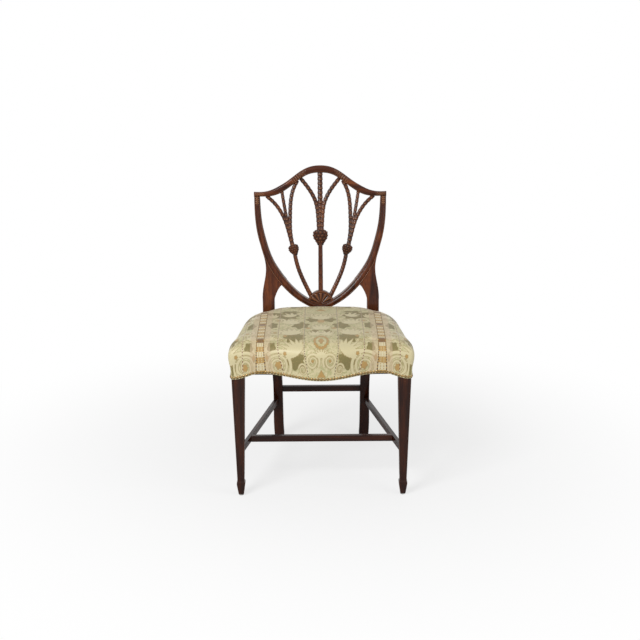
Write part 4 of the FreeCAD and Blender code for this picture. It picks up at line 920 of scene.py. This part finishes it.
def swelling(columns, row_count, most, pressure=4.0, last_frame=20):
    """Movement in millimetres of each point of a coarse skin under pressure: only the part along the skin's
    own outward normal is kept, none on the wall over the rails, and never more than most."""
    coarse = seat_skin(columns, np.linspace(0.0, 1.0, row_count))[0]
    start = to_frame(coarse).reshape(-1, 3)
    faces = grid_faces(row_count, columns)
    order = -1 if signed_volume(start, faces) < 0 else 1
    mesh = bpy.data.meshes.new("swelling")
    mesh.from_pydata(start.tolist(), [], faces[:, ::order].tolist())
    trial = put_in_scene("swelling", mesh)
    pins = trial.vertex_groups.new(name="pins")
    at_post = (coarse[..., 1] > post_pin_y) & (np.abs(coarse[..., 0]) > post_pin_x)
    held = (coarse[..., 2] < wall_top) | at_post
    pins.add(np.flatnonzero(held.ravel()).tolist(), 1.0, "REPLACE")
    cloth = trial.modifiers.new("cloth", "CLOTH")
    cloth.settings.vertex_group_mass = "pins"
    cloth.settings.use_pressure = True
    cloth.settings.uniform_pressure_force = pressure
    cloth.settings.effector_weights.gravity = 0.0
    cloth.settings.quality = 6
    cloth.collision_settings.use_collision = False
    cloth.point_cache.frame_end = last_frame
    for step in range(1, last_frame + 1):
        bpy.context.scene.frame_set(step)
    shaped = trial.evaluated_get(bpy.context.evaluated_depsgraph_get())
    end = np.empty(len(start) * 3, dtype=np.float32)
    shaped.data.vertices.foreach_get("co", end)
    bpy.context.scene.frame_set(1)
    bpy.data.objects.remove(trial)
    moved = (end.reshape(-1, 3) - start).reshape(coarse.shape) / MM
    around = np.roll(coarse, -1, axis=1) - np.roll(coarse, 1, axis=1)
    normal = np.cross(around, np.gradient(coarse, axis=0))
    normal /= np.maximum(np.linalg.norm(normal, axis=-1, keepdims=True), 1e-9)
    crown_row = -6
    normal *= np.sign(normal[crown_row, 0, 2])
    outward_part = np.sum(moved * normal, axis=-1) * unit((coarse[..., 2] - wall_top) / wall_fade)
    return np.clip(outward_part, 0.0, most)[..., None] * normal


def read_rows(grid, at):
    """Rows of a grid read at broken row numbers, evenly between the two nearest rows."""
    low = np.clip(at.astype(int), 0, len(grid) - 2)
    part = (at - low)[:, None, None]
    return (1.0 - part) * grid[low] + part * grid[low + 1]


coarse_columns, coarse_rows, most_swell = 160, 40, 2.5
moved = swelling(coarse_columns, coarse_rows, most_swell)
by_row = read_rows(moved, skin_rows * (coarse_rows - 1))
round_again = np.concatenate([by_row, by_row[:, :1]], axis=1).swapaxes(0, 1)
swell = read_rows(round_again, np.arange(skin_columns) * coarse_columns / skin_columns).swapaxes(0, 1)
skin = skin + swell
print("largest swelling", round(float(np.abs(swell).max()), 2), "mm")

# %% [markdown]
# ## Lay the cloth's own measure on the skin
#
# A woven pattern follows the cloth, not the room: over the shoulder of the seat it bends down with the
# cloth. So each point gets the place it had on the flat cloth. On the crown this is simply its place seen
# from above; past the shoulder it is that, plus how much longer the way along the cloth is than the way seen
# from above, in the direction in which the cloth hangs.

# %% Make the cover
def cloth_places(points, outward):
    """Flat place of every point: plan + outward normal times (length on the skin - length in plan)."""
    steps = np.diff(points[::-1], axis=0)
    longer = np.linalg.norm(steps, axis=-1) - np.linalg.norm(steps[..., :2], axis=-1)
    extra = np.concatenate([np.zeros((1, points.shape[1])), np.cumsum(longer, axis=0)])[::-1]
    return points[..., :2] + outward * extra[..., None]


fold_gap, fold_top, fold_round = 0.6, 412.0, 0.5
fold_x, fold_y = (outline + fold_gap * outward).T
inner_edge = joined(fold_x, fold_y, cover_edge(*outline.T))
inner_top = joined(fold_x, fold_y, fold_top)
rounded_edge = 0.5 * (inner_edge + skin[0]) - [0.0, 0.0, fold_round]
cover_rows = np.concatenate([inner_top[None], inner_edge[None], rounded_edge[None], skin])
places = cloth_places(skin, outward)
places = np.concatenate([np.repeat(places[:1], 3, axis=0), places])
print("cloth is cut", np.round(np.ptp(places.reshape(-1, 2), axis=0)), "mm")

# %% [markdown]
# ## Silk damask
#
# The cloth is a silk damask of a common kind: cream and pale green figures with olive ground between them,
# crossed from front to back by dashed lines and by narrow ladders. It could be drawn with a picture, but a
# picture has one resolution. Here every figure is a distance: a point knows how far it is from the nearest
# edge of a figure, and the material turns that into a crisp weave with a fine outline. The loom repeats
# the drawing, so only half of one repeat is drawn; the rest is folded onto it.

# %% Fold the cloth onto half of one repeat, in millimetres
ladder_place = 184.0
repeat_length = 450.0
repeat_start = -150.0
p = np.abs(np.mod(places[..., 0] + ladder_place, 2 * ladder_place) - ladder_place)
q = np.mod(places[..., 1] - repeat_start, repeat_length) + repeat_start


# %% Distances to simple figures
def lobed(x, y, half_x, half_y, lobes, phase=0.0):
    """Inside measure of an ellipse whose rim waves: 1 + 0.16 cos(lobes angle) - scaled distance."""
    a, b = (p - x) / half_x, (q - y) / half_y
    rim = 1.0 + 0.16 * np.cos(lobes * np.arctan2(b, a) + phase)
    return (rim - np.hypot(a, b)) * min(half_x, half_y)


def volute(x, y, radius, turns, stroke, start, hand):
    """Spiral band: at each angle its radius shrinks by the same length per turn, and its stroke thins."""
    a, b = p - x, q - y
    r = np.hypot(a, b)
    angle = np.mod(hand * np.arctan2(b, a) - start, 2 * np.pi) / (2 * np.pi)
    pitch = radius / (turns + 0.35)
    ring = (radius - r) / pitch - angle
    off = np.abs(ring - np.clip(np.round(ring), 0, turns - 1)) * pitch
    return 0.5 * stroke * (0.35 + 0.65 * unit(r / radius)) - off


def leaf(foot, heading, size, width, tooth=4.0):
    """Leaf with a toothed rim: half width times a sine of the share of its length, less the distance off
    its middle line."""
    c, s = math.cos(heading), math.sin(heading)
    a, b = p - foot[0], q - foot[1]
    share = (a * c + b * s) / size
    teeth = 1.0 + 0.14 * np.cos(size / tooth * np.pi * share)
    body = 0.5 * width * teeth * np.sin(np.pi * unit(share) ** 0.75) - np.abs(b * c - a * s)
    outside = np.maximum(-share, share - 1.0) * size
    return np.where(outside > 0, -outside, body)


def plume(x, y, tip_x, tip_y, width, fronds, spread):
    """Plume: leaves that fan out of one foot, the outer ones shorter."""
    heading, size = math.atan2(tip_y - y, tip_x - x), math.hypot(tip_x - x, tip_y - y)
    shares = np.linspace(-1.0, 1.0, fronds)
    return np.max([leaf((x, y), heading + share * spread, size * (1.0 - 0.35 * share**2), width)
                   for share in shares], axis=0)


def drawn(figure, *rows):
    """The nearest of several figures of one kind, each given as a row of numbers."""
    return np.max([figure(*row) for row in rows], axis=0)


# %% Draw half of one repeat
olive = drawn(
    lobed, (80, 28, 31, 36, 7), (83, -72, 30, 24, 6, 1.0), (112, 262, 40, 40, 8), (64, 150, 26, 34, 6, 2.0),
    (150, 150, 14, 30, 5), (26, 215, 20, 26, 5), (150, -20, 12, 20, 5, 1.5), (20, 85, 12, 18, 5),
    (160, 285, 16, 30, 5), (100, -145, 30, 12, 6),
)
scrolls = drawn(
    volute, (139, -76, 41, 3, 10.5, 0.6, 1), (29, -86, 24, 2, 8.5, 2.4, -1), (67, -102, 15, 2, 5.5, 0.4, 1),
    (142, 72, 26, 2, 10, 2.8, -1), (135, 205, 24, 2, 9, 1.0, 1), (46, 275, 22, 2, 8, 0.0, -1),
)
plumes = drawn(
    plume, (66, -56, 118, 8, 12.5, 9, 1.05), (0, -78, 0, -40, 6.6, 9, 1.3), (84, 52, 104, 118, 17, 7, 0.95),
    (12, 45, 30, 92, 12, 5, 0.8), (0, 105, 0, 172, 13, 7, 0.95), (100, 168, 84, 226, 15, 7, 1.0),
    (0, 222, 0, 290, 14, 7, 1.1), (90, 252, 118, 296, 13, 5, 0.9), (150, 235, 160, 290, 10, 5, 0.6),
    (160, 10, 150, 55, 9, 5, 0.7),
)
cream = np.maximum(scrolls, plumes)
wreath_y = -6.0
wreath_band = np.abs(1.0 - np.hypot(p / 20.0, (q - wreath_y) / 38.0))
wreath = 3.2 + 1.2 * np.cos(14 * np.arctan2(q - wreath_y, 2 * p)) - 20.0 * wreath_band
triangle_foot, triangle_tip = -129.5, -108.5
triangle = np.minimum(q - triangle_foot, 0.65 * (triangle_tip - q - 1.17 * p))
blossoms = drawn(
    lobed, (0, wreath_y, 7, 16, 5), (139, -76, 9, 9, 6), (0, 198, 12, 16, 6), (142, 72, 6, 6, 5),
    (135, 205, 6, 6, 5), (29, -86, 4.5, 4.5, 5), (110, 40, 6, 9, 4), (112, -48, 5, 6, 5), (166, -52, 4, 9, 4),
    (40, 120, 7, 8, 5),
)
golden = np.max([wreath, triangle, blossoms], axis=0)
shares = [round(float((figure > 0).mean()), 2) for figure in (cream, olive, golden)]
print("cream, olive and golden figures cover", *shares)


# %% Weave the damask
cream_colour, green_colour, gold_colour = (0.70, 0.62, 0.37), (0.50, 0.475, 0.235), (0.50, 0.31, 0.10)
olive_colour, line_colour, pink_colour = (0.235, 0.195, 0.065), (0.36, 0.26, 0.10), (0.64, 0.47, 0.31)
dark_thread, red_thread, pale_thread = (0.075, 0.03, 0.014), (0.17, 0.03, 0.018), (0.72, 0.64, 0.42)
block_colour = (0.16, 0.07, 0.025)
# Each dashed line: place across, half width and length of a dash in millimetres, and its two colours.
dashed_lines = [
    (51.5, 1.1, 7.8, dark_thread, pale_thread), (54.5, 0.7, 3.9, gold_colour, pale_thread),
    (131.0, 1.1, 9.0, red_thread, pale_thread), (ladder_place, 10.2, 33.0, gold_colour, pale_thread),
    (ladder_place - 4.0, 1.0, 5.0, gold_colour, cream_colour),
    (ladder_place - 10.8, 1.3, 7.5, dark_thread, gold_colour),
]


def damask():
    """Damask from the cloth's own measure: ground, figures with outlines, dashed lines, ladders, weave."""
    material, shader, _ = new_material("silk_damask")
    place = add_node("ShaderNodeUVMap", {}, shader.id_data, uv_map="cloth").outputs["UV"]
    parts = add_node("ShaderNodeSeparateXYZ", {"Vector": place})
    ladder = ladder_place * MM
    fold = calculate("FLOORED_MODULO", calculate("ADD", parts.outputs["X"], ladder), 2 * ladder)
    across = calculate("ABSOLUTE", calculate("SUBTRACT", fold, ladder))

    def strip(middle, half):
        """One inside a strip across the cloth, zero outside it."""
        return calculate("COMPARE", across, middle * MM, half * MM)

    def beat(length):
        """Share of the way through a repeat of the length, along the cloth."""
        return calculate("FRACT", calculate("DIVIDE", parts.outputs["Y"], length * MM))

    cloud = noise(place, 55.0, 4.0, 0.65, 1.5)
    colour = ramp(cloud, (0.40, green_colour), (0.56, cream_colour))
    colour, _ = laid_over(colour, "olive", olive_colour, 0.0)
    colour, cream_figure = laid_over(colour, "cream", cream_colour)
    colour, golden_figure = laid_over(colour, "golden", gold_colour)
    colour = blend_colour(calculate("MULTIPLY", strip(163.0, 8.5), 0.45), colour, pink_colour)
    for middle, half, dash, first, second in dashed_lines:
        chosen = blend_colour(calculate("GREATER_THAN", beat(dash), 0.5), first, second)
        colour = blend_colour(strip(middle, half), colour, chosen)
    block = calculate("MULTIPLY", calculate("LESS_THAN", beat(150.0), 0.16), strip(ladder_place, 8.8))
    colour = blend_colour(calculate("MULTIPLY", block, 0.8), colour, block_colour)
    weave = calculate("MULTIPLY", wave(place, "X", 330.0, 0.6), wave(place, "Y", 260.0, 0.8))
    shade = ramp(weave, (0.0, (0.82, 0.81, 0.79)), (0.6, (1.05, 1.05, 1.05)))
    figure = calculate("MAXIMUM", cream_figure, golden_figure)
    height = calculate("MULTIPLY_ADD", weave, 0.4, figure)
    set_inputs(shader, {
        "Base Color": blend_colour(1.0, colour, shade, "MULTIPLY"),
        "Normal": relief(height, 0.5, 0.4 * MM), "Sheen Weight": 0.2, "Sheen Roughness": 0.4,
        "Roughness": calculate("MULTIPLY_ADD", figure, -0.16, 0.58),
    })
    return material


def laid_over(colour, name, fill, outline_share=0.75):
    """The colour with a figure laid over it, and the figure's mask: its distance attribute is turned into
    zero outside and one inside over a thread's width, with a darker outline where the distance is small."""
    inside = attribute(colour, name)
    mask = rescaled(inside, -0.4 * MM, 0.4 * MM)
    colour = blend_colour(mask, colour, fill)
    if outline_share:
        near = rescaled(calculate("ABSOLUTE", inside), 1.1 * MM, 0.3 * MM, 0.0, outline_share)
        colour = blend_colour(near, colour, line_colour)
    return colour, mask


figures = {"olive": olive * MM, "cream": cream * MM, "golden": golden * MM}
cover = tube_surface("seat_cover_damask", to_frame(cover_rows), damask(), figures, 60.0)
uv_layer = cover.data.uv_layers.new(name="cloth")
corner_vertex = np.empty(len(cover.data.loops), dtype=np.int32)
cover.data.loops.foreach_get("vertex_index", corner_vertex)
flat_places = with_ends(places).reshape(-1, 2) * MM
uv_layer.data.foreach_set("uv", flat_places[corner_vertex].astype(np.float32).ravel())
dress(cover, "damask", "seat_cover", "stuffed_pad")
print("cover:", len(cover.data.polygons), "faces")

# %% [markdown]
# ## Brass nails, steel and the hidden pieces
#
# Domed nails stand close together along the cover's lower edge. They are old brass: bright on the dome and
# brown where one nail meets the next. The drawing's own nails have the right shape, so they stay and only
# get this metal. The rails and blocks under the seat are plain beech, and the webbing and burlap are jute.

# %% Metals
def metal(name, bright, dark, roughness):
    """Metal with a cloudy tarnish: two colours mixed by noise, with a little unevenness in its polish."""
    material, shader, place = new_material(name)
    colour = ramp(noise(place, 240.0, 3.0, 0.6), (0.35, dark), (0.62, bright))
    uneven = rescaled(noise(place, 900.0), 0.0, 1.0, roughness - 0.07, roughness + 0.1)
    set_inputs(shader, {"Base Color": colour, "Roughness": uneven, "Metallic": 1.0})
    return material


aged_brass = metal("aged_brass", (0.36, 0.245, 0.105), (0.13, 0.085, 0.036), 0.34)
plain_steel = metal("plain_steel", (0.5, 0.49, 0.47), (0.28, 0.27, 0.26), 0.35)


# %% Beech, jute and black cotton
def plain_beech():
    """Unpolished beech: a pale, even wood with short dark flecks along the grain."""
    material, shader, place = new_material("plain_beech")
    along = stretched(place, (0.12, 1.0, 1.0))
    colour = ramp(noise(along, 90.0, 4.0, 0.6), (0.3, (0.36, 0.2, 0.1)), (0.7, (0.5, 0.31, 0.17)))
    fleck = ramp(noise(along, 700.0, 1.0), (0.34, (0.6, 0.55, 0.5)), (0.45, white))
    set_inputs(shader, {"Base Color": blend_colour(0.8, colour, fleck, "MULTIPLY"), "Roughness": 0.6})
    return material


def plain_weave(name, first, second, scale, roughness=0.85):
    """Plain weave from two crossed waves, whose product is high where a thread lies on top."""
    material, shader, place = new_material(name)
    weave = calculate("MULTIPLY", *(wave(place, direction, scale, 0.8) for direction in "XY"))
    set_inputs(shader, {"Base Color": ramp(weave, (0.1, first), (0.6, second)), "Roughness": roughness,
                        "Normal": relief(weave, 0.6, 0.6 * MM)})
    return material


beech = plain_beech()
jute = plain_weave("jute_webbing", (0.2, 0.13, 0.07), (0.42, 0.31, 0.18), 150.0)
burlap = plain_weave("open_burlap", (0.16, 0.11, 0.06), (0.38, 0.28, 0.16), 110.0)
black_cotton = plain_weave("black_cotton", (0.008, 0.008, 0.009), (0.03, 0.03, 0.032), 320.0, 0.9)

finishes = {
    aged_brass: ["brass_nails"], plain_steel: ["glides", "corner_block_screws", "webbing_tacks"],
    jute: ["webbing_long", "webbing_cross"], burlap: ["burlap"],
    beech: ["front_rail", "right_side_rail", "left_side_rail", "back_rail", "right_front_corner_block",
            "left_front_corner_block", "right_back_corner_block", "left_back_corner_block"],
}
for material, nodes in finishes.items():
    for node in nodes:
        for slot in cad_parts[node].material_slots:
            slot.material = material
print("finished nodes:", sum(len(nodes) for nodes in finishes.values()))

# %% [markdown]
# ## The dust cover
#
# Black cotton closes the seat from below. It is tacked along the rails and sags a little between them. A
# flat plate would look stiff, so the height falls smoothly from the edge to the middle.

# %% Hang the dust cover
dust_inset, dust_height, dust_sag, dust_thickness = 9.5, 399.3, 3.0, 0.6


def dust_cloth():
    """Two layers a thread apart: height = edge height - sag times (1 - r squared) squared."""
    rim, away = seat_outline(160, 0.3)
    rim = rim - dust_inset * away
    share = np.linspace(0.06, 1.0, 24)[:, None]
    middle = np.array([0.0, seat_middle])
    plan = middle + (rim - middle) * share[..., None]
    height = dust_height - dust_sag * (1.0 - share**2) ** 2
    low = joined(plan[..., 0], plan[..., 1], height)
    high = low + [0.0, 0.0, dust_thickness]
    cut = 0.5 * abs(np.sum(rim[:, 0] * np.roll(rim[:, 1], -1) - rim[:, 1] * np.roll(rim[:, 0], -1)))
    return np.concatenate([low, high[::-1]]), np.ptp(rim, axis=0) * MM, cut * MM * MM


dust_rows, dust_size, dust_area = dust_cloth()
dust = tube_surface("dust_cover_cloth", to_frame(dust_rows), black_cotton, crease=50.0)
dress(dust, "black_cotton", "dust_cover")
print("dust cover", np.round(dust_size, 3), "m")

# %% [markdown]
# ## The studio
#
# The chair stands on a plain pale floor in soft light. A large lamp high on the left in front gives the
# polish its long highlights, a weaker one fills the right, and the sky is white for the camera and for
# reflections but dimmer as a light, so that the colours render about as they are written.

# %% Floor
def ray_is(tree, *kinds):
    """One for rays of the named kinds, zero for others."""
    light_path = add_node("ShaderNodeLightPath", {}, tree)
    seen = light_path.outputs[f"Is {kinds[0]} Ray"]
    for kind in kinds[1:]:
        seen = calculate("MAXIMUM", seen, light_path.outputs[f"Is {kind} Ray"])
    return seen


def pale_floor():
    """Pale floor for the camera: a faint shadow near the chair, plain white far from it."""
    material, shader, place = new_material("pale_floor")
    set_inputs(shader, {"Base Color": (0.88, 0.88, 0.88), "Roughness": 0.9, "Specular IOR Level": 0.1})
    away = add_node("ShaderNodeVectorMath", {0: place}, operation="LENGTH").outputs["Value"]
    near_end, far_start, near_white = 0.3, 1.5, 0.7
    far = rescaled(away, near_end, far_start, near_white, 1.0, "SMOOTHSTEP")
    glow = add_node("ShaderNodeEmission", {"Color": white, "Strength": 1.0}, shader.id_data)
    shown = calculate("MULTIPLY", far, ray_is(shader.id_data, "Camera", "Transmission"))
    mix = add_node("ShaderNodeMixShader", {0: shown, 1: shader.outputs["BSDF"], 2: glow.outputs["Emission"]})
    set_inputs(material.node_tree.nodes["Material Output"], {"Surface": mix.outputs["Shader"]})
    return material


floor_reach = 25.0
floor_corners = [(-floor_reach, -floor_reach, 0.0), (floor_reach, -floor_reach, 0.0),
                 (floor_reach, floor_reach, 0.0), (-floor_reach, floor_reach, 0.0)]
floor_mesh = bpy.data.meshes.new("floor")
floor_mesh.from_pydata(floor_corners, [], [(0, 1, 2, 3)])
floor_mesh.materials.append(pale_floor())
floor = put_in_scene("floor", floor_mesh)
print("floor laid")

# %% White surroundings
world = bpy.data.worlds.new("studio")
world.use_nodes = True
bpy.context.scene.world = world
sky = world.node_tree
sky.nodes.clear()
sky_light = 0.38
strength = rescaled(ray_is(sky, "Camera", "Glossy", "Transmission"), 0.0, 1.0, sky_light, 1.0)
background = add_node("ShaderNodeBackground", {"Color": white, "Strength": strength})
add_node("ShaderNodeOutputWorld", {"Surface": background.outputs["Background"]})
print("sky light", sky_light)


# %% Soft lamps
def soft_lamp(name, place, target, size, power):
    """Square area lamp that points at a target."""
    lamp = bpy.data.lights.new(name, "AREA")
    lamp.shape = "SQUARE"
    lamp.size = size
    lamp.energy = power
    heading = (Vector(target) - Vector(place)).to_track_quat("-Z", "Y")
    put_in_scene(name, lamp).matrix_world = Matrix.Translation(place) @ heading.to_matrix().to_4x4()


seat_front = (0.0, 0.0, 0.5)
soft_lamp("key", (-1.5, -2.1, 2.4), seat_front, 1.2, 62.0)
soft_lamp("fill", (2.2, -1.4, 1.5), seat_front, 1.6, 18.0)
print("lamps placed")
